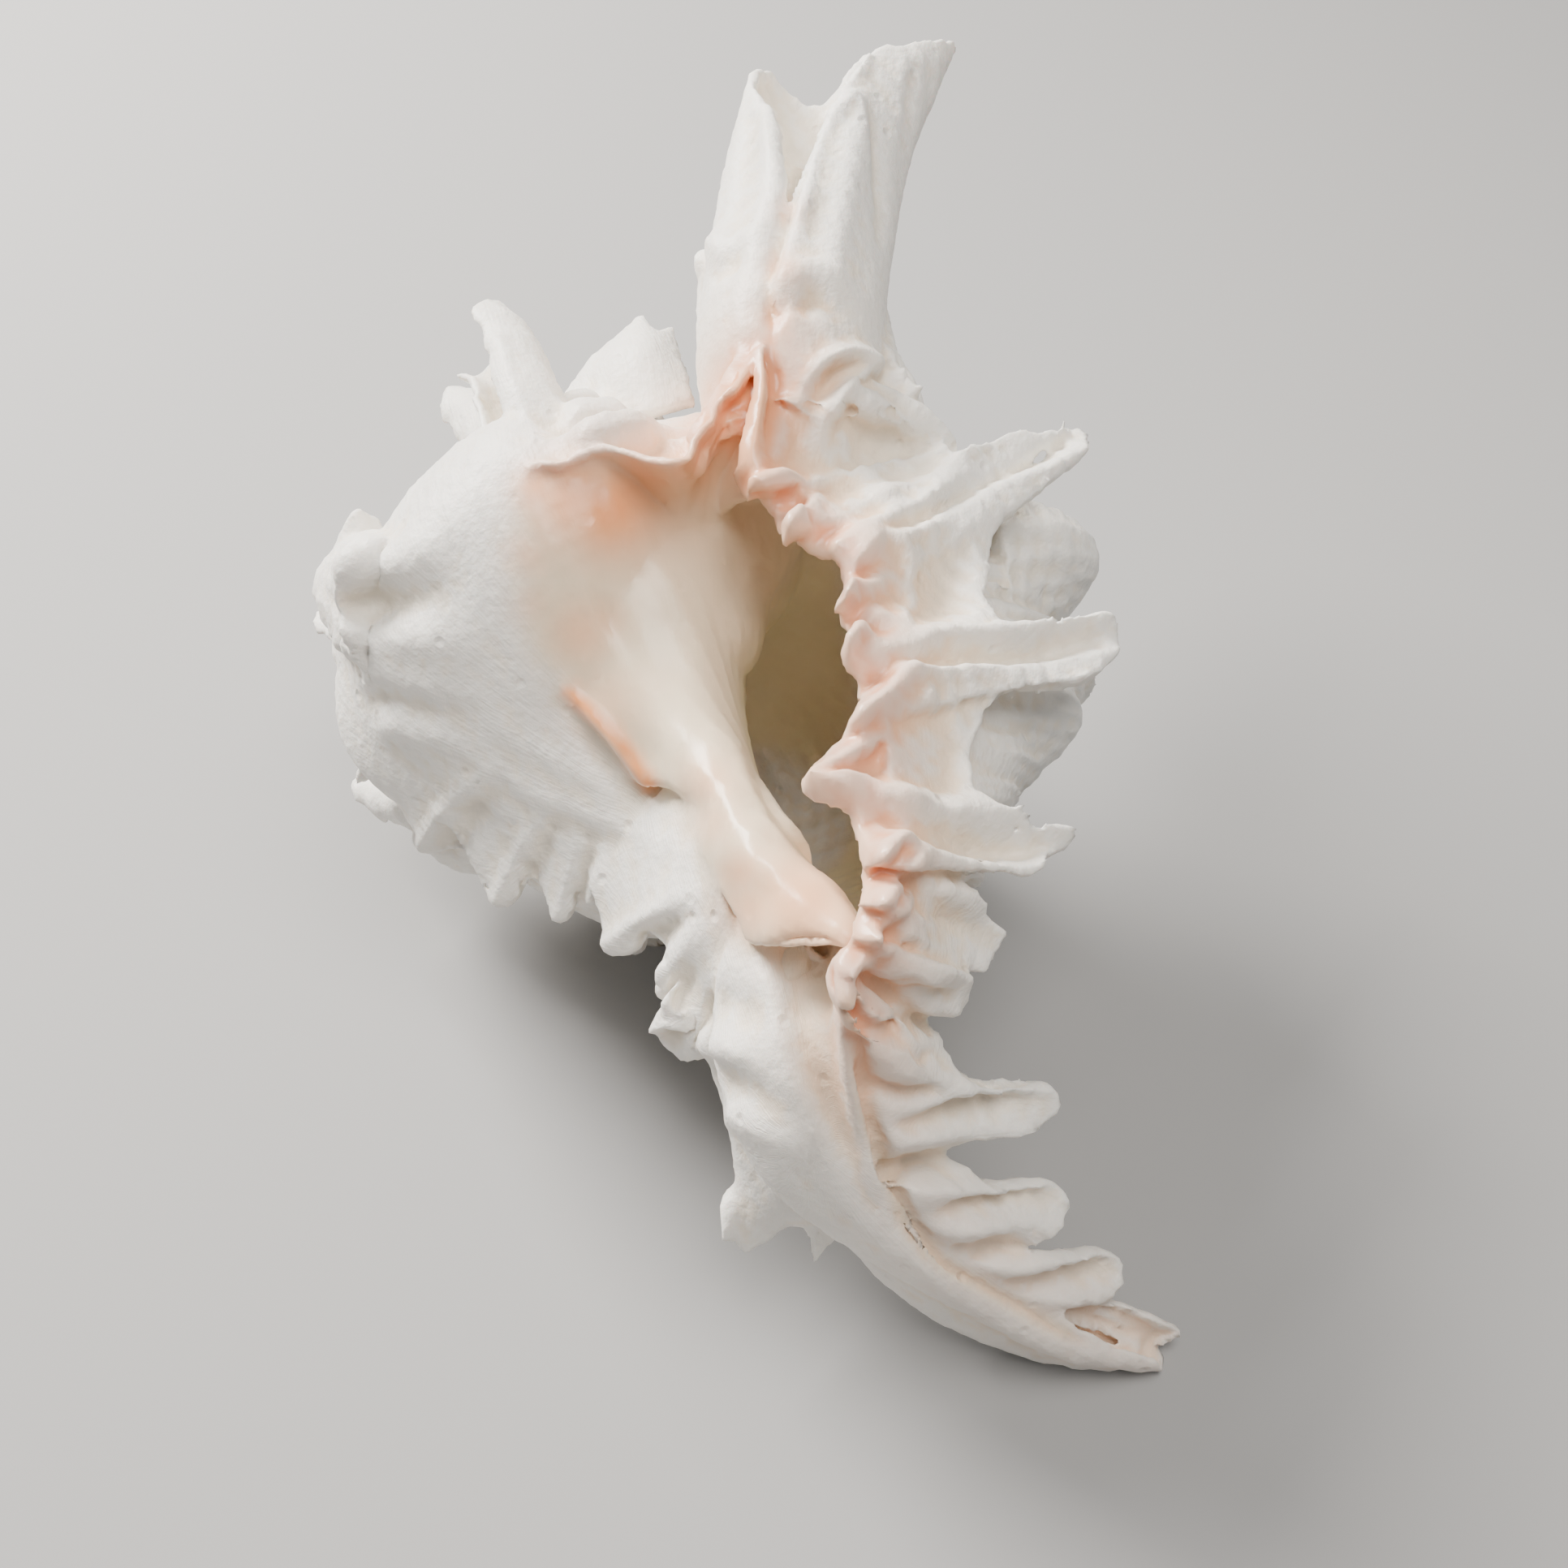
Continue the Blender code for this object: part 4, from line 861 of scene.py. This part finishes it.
# Crests and grooves drawn on the finished skin: line in the picture, heights, widths in mm.
skinLines = [
    ([(947, 440), (957, 482), (951, 522), (950, 553)], [-0.8, -1.3, -1.1, -0.4], [0.9]),
    ([(990, 484), (1012, 450), (1036, 437), (1062, 437), (1078, 455)],
     [0.8, 2.4, 2.6, 2.2, 0.8], [1.3]),
    ([(1003, 485), (1028, 463), (1050, 452)], [-1.0, -1.8, -1.0], [2.0]),
    ([(1066, 450), (1040, 485), (1020, 513), (1009, 540)], [2.0, 2.2, 1.6, 0.5], [1.4]),
    ([(1060, 515), (1095, 535), (1130, 550)], [-1.0, -1.6, -0.8], [4.0]),
    ([(984, 215), (975, 250), (962, 300), (950, 345), (948, 380), (950, 415), (944, 440)],
     [-2.0, -2.2, -2.0, -1.6, -1.0, -0.6, -0.3], [0.9]),
    ([(995, 235), (985, 270), (975, 310), (966, 350), (968, 400)], [0.9, 1.0, 1.0, 0.8, 0.3], [2.0]),
    ([(520, 1040), (555, 990), (600, 955)], [1.6, 1.4, 0.3], [1.6]),
    ([(615, 1106), (638, 1055), (665, 1010)], [1.6, 1.4, 0.3], [1.6]),
    ([(690, 1126), (704, 1080), (715, 1040)], [1.6, 1.4, 0.3], [1.5]),
    ([(728, 1112), (738, 1075), (750, 1045)], [1.2, 1.0, 0.3], [1.2]),
    ([(558, 1050), (585, 1005), (620, 970)], [-1.2, -1.2, -0.3], [2.0]),
    ([(650, 1088), (668, 1045), (690, 1010)], [-1.2, -1.2, -0.3], [1.8]),
    ([(712, 1102), (722, 1060), (732, 1030)], [-1.0, -1.0, -0.3], [1.3]),
    ([(838, 1108), (790, 1135), (750, 1162)], [0.4, 1.4, 1.4], [1.6]),
    ([(852, 1150), (832, 1190), (815, 1232)], [0.4, 1.4, 1.4], [1.6]),
    ([(886, 1188), (866, 1245), (846, 1298)], [0.4, 1.4, 1.4], [1.6]),
    ([(800, 1158), (830, 1140), (860, 1120)], [-1.2, -1.0, -0.3], [1.8]),
    ([(822, 1255), (845, 1215), (868, 1180)], [-1.2, -1.2, -0.3], [1.8]),
    ([(1238, 660), (1250, 700), (1240, 740)], [-0.6], [2.0]),
    ([(1300, 650), (1310, 700), (1300, 745)], [0.6], [2.5]),
    ([(1215, 870), (1225, 910), (1215, 950)], [-0.5], [2.0]),
    ([(704, 856), (735, 883), (765, 915), (800, 968)], [0.8, 2.2, 2.2, 0.8], [1.2]),
    ([(866, 322), (884, 303), (908, 296)], [2.2, 2.4, 0.8], [2.6]),
    ([(884, 335), (905, 322), (925, 315)], [-1.2, -1.4, -0.4], [1.8]),
    ([(690, 870), (720, 905), (755, 945), (790, 985)], [-0.5, -0.9, -0.6], [2.0]),
    ([(945, 1185), (958, 1260), (980, 1340), (1012, 1420), (1062, 1490), (1125, 1548), (1200, 1600)],
     [0.4, 1.4, 1.4, 1.2, 1.0, 0.8, 0.4], [2.6]),
    ([(1000, 1178), (1006, 1240), (1012, 1320), (1030, 1390)], [-2.4, -2.2, -1.4, -0.6], [3.0]),
    ([(968, 1180), (975, 1225), (985, 1280)], [-2.0, -1.6, -0.6], [2.2]),
    ([(1030, 1185), (1036, 1250), (1046, 1320), (1062, 1390)], [1.0, 1.2, 1.0, 0.5], [1.6]),
    ([(874, 1288), (915, 1300), (955, 1330)], [1.6, 1.2, 0.3], [2.4]),
    ([(890, 1335), (925, 1350), (960, 1380)], [-1.4, -1.0, -0.3], [2.4]),
    ([(900, 1375), (940, 1392), (980, 1420)], [1.2, 1.0, 0.3], [2.2]),
    ([(885, 1235), (925, 1250), (960, 1290)], [-1.2, -1.0, -0.2], [2.6]),
    ([(1115, 75), (1108, 180), (1090, 300), (1070, 380)], [0.7, 0.7, 0.6, 0.2], [1.1]),
    ([(1135, 70), (1125, 180), (1105, 300), (1088, 370)], [0.6, 0.6, 0.5, 0.2], [1.0]),
    ([(1155, 70), (1143, 160), (1120, 290)], [0.6, 0.6, 0.3], [0.9]),
    ([(1054, 112), (1068, 138), (1080, 198), (1085, 269), (1086, 340)],
     [-0.8, -1.3, -1.4, -1.0, -0.3], [1.0]),
    ([(1028, 146), (1042, 128), (1054, 118), (1064, 150), (1072, 200)],
     [1.4, 1.6, 1.6, 1.0, 0.3], [1.5]),
    ([(1118, 100), (1110, 180), (1094, 280)], [-0.7, -0.7, -0.3], [1.0]),
    ([(1056, 135), (1045, 220), (1030, 300), (1020, 360)], [1.4, 1.4, 1.2, 0.4], [2.6]),
    ([(956, 350), (1000, 335), (1030, 345), (1060, 385)], [1.4, 1.3, 1.0, 0.3], [2.0]),
    ([(960, 385), (1005, 372), (1035, 385), (1060, 415)], [-1.0, -1.3, -1.0, -0.3], [1.8]),
    ([(950, 170), (950, 240), (932, 300), (918, 350), (908, 400)], [1.2, 1.4, 1.4, 1.0, 0.4], [2.0]),
    ([(925, 150), (915, 230), (905, 300)], [-0.8, -0.8, -0.4], [1.6]),
    ([(945, 140), (955, 200), (960, 260)], [0.8, 0.7, 0.3], [1.4]),
    ([(975, 390), (985, 350), (1000, 300)], [0.8, 0.6, 0.2], [1.2]),
    ([(615, 420), (635, 480), (660, 540)], [0.8, 0.8, 0.4], [1.2]),
    ([(440, 705), (500, 690), (560, 640)], [2.8, 2.0, 0.6], [3.5]),
    ([(445, 780), (500, 790), (560, 800)], [2.6, 2.0, 0.6], [3.5]),
    ([(440, 745), (495, 742), (550, 725)], [-2.2, -1.8, -0.5], [3.0]),
    ([(470, 830), (520, 845), (580, 860)], [1.6, 1.2, 0.3], [3.0]),
    ([(490, 890), (530, 905), (590, 920)], [1.6, 1.2, 0.3], [3.0]),
    ([(475, 860), (520, 875), (580, 890)], [-1.2, -1.0, -0.2], [2.6]),
    ([(580, 930), (650, 975), (740, 1010), (820, 1035)], [0.3, 0.6, 0.6, 0.3], [1.6]),
    ([(600, 890), (670, 930), (750, 975)], [0.2, 0.5, 0.3], [1.6]),
    ([(560, 960), (640, 1010), (730, 1045)], [0.3, 0.6, 0.3], [1.8]),
    ([(1056, 1275), (1062, 1320), (1074, 1390), (1096, 1448), (1116, 1500), (1156, 1552),
      (1240, 1602), (1310, 1642), (1370, 1665)],
     [-0.6, -1.8, -2.4, -2.4, -2.0, -1.7, -1.4, -0.8, -0.2],
     [1.0, 1.0, 1.2, 1.5, 1.2, 1.0, 1.0, 0.9, 0.8]),
    ([(735, 735), (748, 770)], [-0.5], [0.7]),
    ([(752, 745), (756, 785)], [-0.4], [0.6]),
    ([(936, 700), (946, 702)], [-0.7], [0.9]),
]


def carve(mesh):
    # Corners that face the camera move along their normals by the relief of skinLines, and
    # all of them by uneven waves: the product of sines of three slanting directions, and
    # that of two closer ones.
    corners = atCorners(mesh, "co") / mm
    normals = atCorners(mesh, "normal")
    toCamera = unit(np.array(view["place"]) - corners)
    relief = lineRelief(corners, skinLines) * step((normals * toCamera).sum(-1), *skin["faced"])
    x, y, z = corners.T
    small = np.sin(2.3 * x + 1.1 * z) * np.sin(2.1 * y - 0.7 * x + 0.6 * z)
    large = np.sin(0.9 * x + 0.5 * y) * np.sin(0.7 * y - 0.8 * z) * np.sin(0.3 * z + 0.35 * x)
    relief = relief + skin["smallWave"] * small + skin["wave"] * large
    moveCorners(mesh, (corners + normals * relief[:, None]) * mm)


melted = melt()
print("melted:", len(melted.vertices), "corners")
relax(melted, skin["smoothing"])
carve(melted)
relax(melted, skin["finish"])
shell = bpy.data.objects.new("murexShell", melted)
bpy.context.scene.collection.objects.link(shell)
thin = shell.modifiers.new("thin", "DECIMATE")
thin.ratio = min(1, skin["triangles"] / (2 * len(melted.polygons)))
bpy.context.view_layer.update()
graph = bpy.context.evaluated_depsgraph_get()
thinned = bpy.data.meshes.new_from_object(shell.evaluated_get(graph))
shell.modifiers.clear()
shell.data = thinned
shell.data.polygons.foreach_set("use_smooth", np.ones(len(thinned.polygons), bool))
print("skin:", len(thinned.polygons), "faces")

# Colours, and where they lie in the picture: orange spots and patches of warm painted shade as
# column, row, radius in mm and strength, lines with their half width in mm, and the outline of the
# glossy part inside the mouth. Two numbers are where a change begins and where it ends.
colours = {
    "white": (0.90, 0.865, 0.80),
    "cream": (0.90, 0.74, 0.52),
    # Tan is lighter than the cream inside: painted glow deep in the mouth.
    "tan": (0.97, 0.86, 0.58),
    "peach": (0.93, 0.64, 0.38),
    "pink": (0.82, 0.36, 0.20),
    "orange": (0.92, 0.33, 0.10),
    # Colour of the warm painted shade high in the mouth.
    "warmShade": (0.72, 0.55, 0.38),
    # Grey of the painted shade on the low right side of the shell.
    "grey": (0.60, 0.60, 0.58),
    # Darker brownish tone for the hollows outside the mouth.
    "hollowDark": (0.62, 0.56, 0.46),
    "pinkReach": 7.5,
    "peachReach": 17.0,
    "teethEnd": (26, 31),
    "tanBelow": (55, 74),
    "orangeHeight": (50, 60),
    "streakWidth": 1.6,
    "slitWidth": 1.3,
    # Where the grey painted shade lies: right of, below and behind these x, z and y in mm.
    "shadeRight": (40, 55),
    "shadeBelow": (66, 78),
    "shadeBack": (-60, -35),
    "grooved": (0.004, 0.05),
    "crested": (0.01, 0.08),
    "inHollows": (0.05, 0.14),
    "seen": (-0.1, 0.2),
    "insideAbove": 15,
    "nearRounds": 3,
    "wideRounds": 12,
    "growthAround": 60,
    "growthAlong": 0.2,
    "spots": [(666, 600, 4.5, 0.75), (706, 612, 7, 0.9), (748, 628, 7, 1.0), (728, 598, 8, 0.6),
              (792, 588, 8, 0.55), (842, 572, 6, 0.5), (648, 680, 4, 0.35), (716, 779, 5, 0.45),
              (741, 767, 4, 0.35), (655, 745, 3.5, 0.25), (868, 520, 7, 0.55), (912, 492, 7, 0.6),
              (925, 540, 6, 0.5), (745, 870, 6, 0.3),
              (925, 1120, 5, 0.5), (955, 1095, 5, 0.45), (985, 1112, 7, 0.6), (1012, 1138, 5, 0.4),
              (912, 1075, 3.5, 0.5), (870, 965, 4, 0.4), (878, 1012, 4, 0.3), (958, 395, 3, 0.5),
              (966, 330, 3, 0.45), (972, 260, 2.5, 0.35)],
    "streak": [(704, 856), (735, 883), (765, 915), (800, 968)],
    # Patches of warm painted shade high in the mouth, under its back edge.
    "warmShadeSpots": [(820, 610, 12, 0.7), (890, 600, 12, 0.7), (860, 660, 14, 0.6), (760, 655, 10, 0.35),
               (920, 690, 10, 0.55), (900, 760, 8, 0.35)],
    "slit": [(1046, 1232), (1058, 1300), (1074, 1390), (1096, 1448), (1116, 1500), (1156, 1552),
             (1240, 1602), (1310, 1642)],
    "glossy": [(648, 594), (690, 580), (760, 565), (830, 575), (862, 545), (905, 480),
               (942, 430), (960, 500), (925, 570), (960, 640), (1030, 665), (1036, 738),
               (1045, 800), (1055, 890), (1000, 955), (1070, 1000), (1080, 1060),
               (1075, 1114), (1066, 1157), (1050, 1172), (920, 1168), (895, 1110),
               (862, 1050), (845, 985), (790, 965), (712, 870), (650, 790), (635, 690)],
}


def within(places, corners):
    # Even-odd rule: how often the row line from each place crosses the outline.
    crossings = np.zeros(len(places), int)
    for (a, b), (c, d) in zip(corners, corners[1:] + corners[:1]):
        spans = (b > places[:, 1]) != (d > places[:, 1])
        at = a + (places[:, 1] - b) * (c - a) / ((d - b) or 1e-9)
        crossings += spans & (places[:, 0] < at)
    return crossings % 2 == 1


def meanOfNeighbours(mesh, values, rounds):
    # Values move to the mean of their neighbours, in every round.
    a, b = edgeEnds(mesh)
    size = len(values)
    count = np.maximum(np.bincount(np.concatenate([a, b]), minlength=size), 1)
    for _ in range(rounds):
        values = (np.bincount(a, values[b], size) + np.bincount(b, values[a], size)) / count
    return values


def hollowness(mesh, corners, normals, rounds):
    # Part along the normal of the step from each corner to the mean of its surroundings, in
    # mm and divided by the rounds of averaging.
    near = np.stack([meanOfNeighbours(mesh, corners[:, i], rounds) for i in range(3)], -1)
    return ((near - corners) * normals).sum(-1) / rounds


def patches(places, depth, table):
    # Strength * exp(-(distance in mm / radius)^2) of the patch that counts most.
    total = np.zeros(len(places))
    for column, row, radius, strength in table:
        gap = np.linalg.norm(places - np.array([column, row]), axis=-1) * depth / view["focal"]
        total = np.maximum(total, strength * np.exp(-(gap / radius) ** 2))
    return total


def nearTeeth(corners, reach):
    # exp(-(distance from the lip's inner edge / reach)^2), weaker along the canal.
    count = 300
    edge = smoothLine(sight(lip["inner"]), count)
    number = np.linspace(0, len(lip["inner"]) - 1, count)
    weight = 1 - 0.75 * step(number, *colours["teethEnd"])
    near = np.zeros(len(corners))
    atOnce = 20000
    for start in range(0, len(corners), atOnce):
        part = slice(start, start + atOnce)
        gap = np.linalg.norm(corners[part, None] - edge[None], axis=-1)
        near[part] = (weight * np.exp(-(gap / reach) ** 2)).max(1)
    return near


def setValues(mesh, name, kind, values):
    # Keeps a colour or a number with every corner, for the material to read.
    slot = "value" if kind == "FLOAT" else "color"
    kept = mesh.attributes.new(name, kind, "POINT")
    kept.data.foreach_set(slot, values.astype(np.float32).ravel())


def paint(mesh):
    # White, mixed in turn with each colour of the layers by its share: grey painted shade low on the
    # right side, cream to tan inside the mouth and in grooves, the tan deep in the mouth lightened as
    # painted glow, warm painted shade high in the mouth, peach and pink by the teeth, orange in the
    # spots, a darker tone in hollows. The gloss goes with the part inside the mouth, the teeth and the
    # spots.
    corners = atCorners(mesh, "co") / mm
    normals = atCorners(mesh, "normal")
    places, depth = pictureOf(corners)
    facing = (normals * unit(np.array(view["place"]) - corners)).sum(-1)
    seen = step(facing, *colours["seen"])
    x, y, z = corners.T
    inside = within(places, colours["glossy"]) & (facing > colours["seen"][0])
    inside = inside & (z > colours["insideAbove"])
    inside = meanOfNeighbours(mesh, inside.astype(float), 5)
    # Deep in the mouth a lighter tan: the inside's own warm colour, lightened as painted glow and bounce
    # light in the cavity.
    deep = inside * (1 - step(z, *colours["tanBelow"]))
    pink = nearTeeth(corners, colours["pinkReach"])
    peach = nearTeeth(corners, colours["peachReach"])
    streak = lineRelief(corners, [(colours["streak"], [1.0], [colours["streakWidth"]])])
    orange = np.maximum(patches(places, depth, colours["spots"]), streak)
    orange = orange * seen * step(z, *colours["orangeHeight"])
    # Warm painted shade high in the mouth: darker, warmer patches under its back edge.
    warmShade = patches(places, depth, colours["warmShadeSpots"]) * inside * (1 - deep)
    slit = lineRelief(corners, [(colours["slit"], [1.0], [colours["slitWidth"]])]) * seen
    # Grey painted shade on the low right side, behind and under the lip, stronger and weaker along a
    # sine.
    rightShade = step(x, *colours["shadeRight"]) * (1 - step(z, *colours["shadeBelow"]))
    rightShade = rightShade * step(y, *colours["shadeBack"]) * (0.6 + 0.4 * np.sin(2.1 * y + 1.3 * z))
    sunk = hollowness(mesh, corners, normals, colours["nearRounds"])
    wide = hollowness(mesh, corners, normals, colours["wideRounds"])
    groove = step(sunk, *colours["grooved"]) + step(wide, *colours["grooved"])
    crest = step(-sunk, *colours["crested"])
    # A darker brownish tone in the hollows outside the mouth and away from the teeth.
    inHollows = step(sunk, *colours["inHollows"]) * (1 - inside) * (1 - peach)
    layers = (("grey", 0.7 * rightShade),
              ("cream", 0.9 * inside + 0.7 * slit),
              ("tan", deep),
              ("warmShade", warmShade),
              ("cream", 0.35 * np.clip(groove, 0, 1) * (1 - inside)),
              ("peach", np.clip(peach * (0.25 + 0.4 * groove), 0, 1) * (1 - 0.7 * inside)),
              ("pink", pink * (0.72 + 0.2 * groove - 0.25 * crest)),
              ("orange", 0.95 * orange),
              ("hollowDark", 0.35 * inHollows))
    colour = np.tile(np.array(colours["white"]), (len(corners), 1))
    for name, share in layers:
        colour += (np.array(colours[name]) - colour) * np.clip(share, 0, 1)[:, None]
    setValues(mesh, "tint", "FLOAT_COLOR", np.hstack([colour, np.ones((len(colour), 1))]))
    fromAxis = corners - onAxis(corners)
    angle = np.arctan2(fromAxis @ toBack, fromAxis @ toRight)
    height = colours["growthAlong"] * ((corners - axisPoint) @ alongAxis)
    around = colours["growthAround"] * np.stack([np.cos(angle), np.sin(angle)], -1)
    rest = np.stack([height, 0 * angle], -1)
    setValues(mesh, "growth", "FLOAT_COLOR", np.hstack([around, rest]))
    setValues(mesh, "gloss", "FLOAT", np.clip(inside + 0.8 * pink + 0.5 * orange, 0, 1))


paint(thinned)


# Surface: sizes of the textures. Pairs are for chalky and for glazed places, but the pair of
# the cloud is its darkest and its lightest shade.
limeLook = {
    "cloudScale": 60,
    "cloudShade": (0.90, 1.0),
    "grainScale": 700,
    "growthScale": 0.9,
    "growthShare": 0.5,
    "pitScale": 160,
    "pitRadius": 0.16,
    "pitDepth": -1.5,
    "roughness": (0.5, 0.3),
    "bumps": (0.7, 0.08),
    "bumpHeight": 0.0004,
    "glow": 0.12,
    "glowColours": (1.0, 0.6, 0.4),
    "glowReach": 0.002,
}


def limeMaterial():
    # Tint * cloudy noise; roughness falls from chalky to glazed with the gloss; bumps of
    # grain + share * growth lines + pits, lower where it is glazed.
    material = bpy.data.materials.new("lime")
    material.use_nodes = True
    nodes = material.node_tree.nodes
    link = material.node_tree.links.new
    surface = nodes["Principled BSDF"]
    place = nodes.new("ShaderNodeTexCoord")

    def painted(name):
        # The values that paint keeps with every corner.
        values = nodes.new("ShaderNodeAttribute")
        values.attribute_name = name
        return values

    def noise(source, scale, detail):
        # Noise of the given scale and detail over a place.
        texture = nodes.new("ShaderNodeTexNoise")
        texture.inputs["Scale"].default_value = scale
        texture.inputs["Detail"].default_value = detail
        link(source, texture.inputs["Vector"])
        return texture

    def ranged(source, low, high, ends):
        # The values from low to high laid evenly on the range between the ends.
        mapped = nodes.new("ShaderNodeMapRange")
        for number, value in ((1, low), (2, high), (3, ends[0]), (4, ends[1])):
            mapped.inputs[number].default_value = value
        link(source, mapped.inputs[0])
        return mapped.outputs[0]

    tint = painted("tint")
    gloss = painted("gloss")
    cloud = noise(place.outputs["Object"], limeLook["cloudScale"], 4)
    shade = ranged(cloud.outputs[0], 0.3, 0.7, limeLook["cloudShade"])
    mix = nodes.new("ShaderNodeVectorMath")
    mix.operation = "SCALE"
    link(tint.outputs["Color"], mix.inputs[0])
    link(shade, mix.inputs["Scale"])
    link(mix.outputs[0], surface.inputs["Base Color"])
    link(ranged(gloss.outputs["Fac"], 0, 1, limeLook["roughness"]), surface.inputs["Roughness"])
    surface.inputs["Subsurface Weight"].default_value = limeLook["glow"]
    surface.inputs["Subsurface Radius"].default_value = limeLook["glowColours"]
    surface.inputs["Subsurface Scale"].default_value = limeLook["glowReach"]
    grain = noise(place.outputs["Object"], limeLook["grainScale"], 5)
    growth = painted("growth")
    lines = noise(growth.outputs["Vector"], limeLook["growthScale"], 3)
    pits = nodes.new("ShaderNodeTexVoronoi")
    pits.inputs["Scale"].default_value = limeLook["pitScale"]
    link(place.outputs["Object"], pits.inputs["Vector"])
    pitting = ranged(pits.outputs["Distance"], 0.0, limeLook["pitRadius"],
                     (limeLook["pitDepth"], 0.0))
    rough = nodes.new("ShaderNodeMath")
    rough.operation = "MULTIPLY_ADD"
    rough.inputs[1].default_value = limeLook["growthShare"]
    link(lines.outputs[0], rough.inputs[0])
    link(grain.outputs[0], rough.inputs[2])
    pitted = nodes.new("ShaderNodeMath")
    pitted.operation = "ADD"
    link(rough.outputs[0], pitted.inputs[0])
    link(pitting, pitted.inputs[1])
    bump = nodes.new("ShaderNodeBump")
    bump.inputs["Distance"].default_value = limeLook["bumpHeight"]
    link(ranged(gloss.outputs["Fac"], 0, 1, limeLook["bumps"]), bump.inputs["Strength"])
    link(pitted.outputs[0], bump.inputs["Height"])
    link(bump.outputs[0], surface.inputs["Normal"])
    return material


lime = limeMaterial()
shell.data.materials.clear()
shell.data.materials.append(lime)
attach(shell, "root")
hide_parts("shell")


# Studio, in metres and watts: lights as name, place, size and power.
studioLook = {
    "floorHalf": 3,
    "floorColour": (0.33, 0.325, 0.32, 1),
    "floorRoughness": 0.8,
    "lights": [("window", (-0.50, 0.45, 0.62), 0.42, 28.0), ("fill", (0.15, -0.15, 0.90), 0.5, 8.0)],
    "lightColour": (1.0, 0.965, 0.92),
    "aim": (0, 0, 0.05),
    "sky": (0.97, 0.98, 1.0, 1),
    "skyStrength": 0.28,
}


def studio():
    # Grey floor, a large soft light from the left and behind, a weaker one from above and a
    # pale sky. Each light looks at the aim.
    half = studioLook["floorHalf"]
    mesh = bpy.data.meshes.new("floor")
    mesh.from_pydata([(-half, -half, 0), (half, -half, 0), (half, half, 0), (-half, half, 0)],
                     [], [(0, 1, 2, 3)])
    floor = bpy.data.objects.new("floor", mesh)
    bpy.context.scene.collection.objects.link(floor)
    paper = bpy.data.materials.new("paper")
    paper.use_nodes = True
    surface = paper.node_tree.nodes["Principled BSDF"]
    surface.inputs["Base Color"].default_value = studioLook["floorColour"]
    surface.inputs["Roughness"].default_value = studioLook["floorRoughness"]
    mesh.materials.append(paper)
    for name, place, size, power in studioLook["lights"]:
        lamp = bpy.data.lights.new(name, "AREA")
        lamp.size = size
        lamp.energy = power
        lamp.color = studioLook["lightColour"]
        made = bpy.data.objects.new(name, lamp)
        bpy.context.scene.collection.objects.link(made)
        made.location = place
        toAim = Vector(studioLook["aim"]) - Vector(place)
        made.rotation_euler = toAim.to_track_quat("-Z", "Y").to_euler()
    world = bpy.data.worlds.new("sky")
    bpy.context.scene.world = world
    world.use_nodes = True
    background = world.node_tree.nodes["Background"]
    background.inputs[0].default_value = studioLook["sky"]
    background.inputs[1].default_value = studioLook["skyStrength"]


def camera():
    # The photograph's place, pitch and focal length.
    lens = bpy.data.cameras.new("camera")
    lens.sensor_width = view["sensor"]
    lens.lens = view["focal"] / view["picture"] * view["sensor"]
    lens.clip_start = 0.01
    item = bpy.data.objects.new("camera", lens)
    bpy.context.scene.collection.objects.link(item)
    item.location = np.array(view["place"]) * mm
    item.rotation_euler = (math.radians(90 - view["downward"]), 0, 0)
    bpy.context.scene.camera = item


studio()
camera()
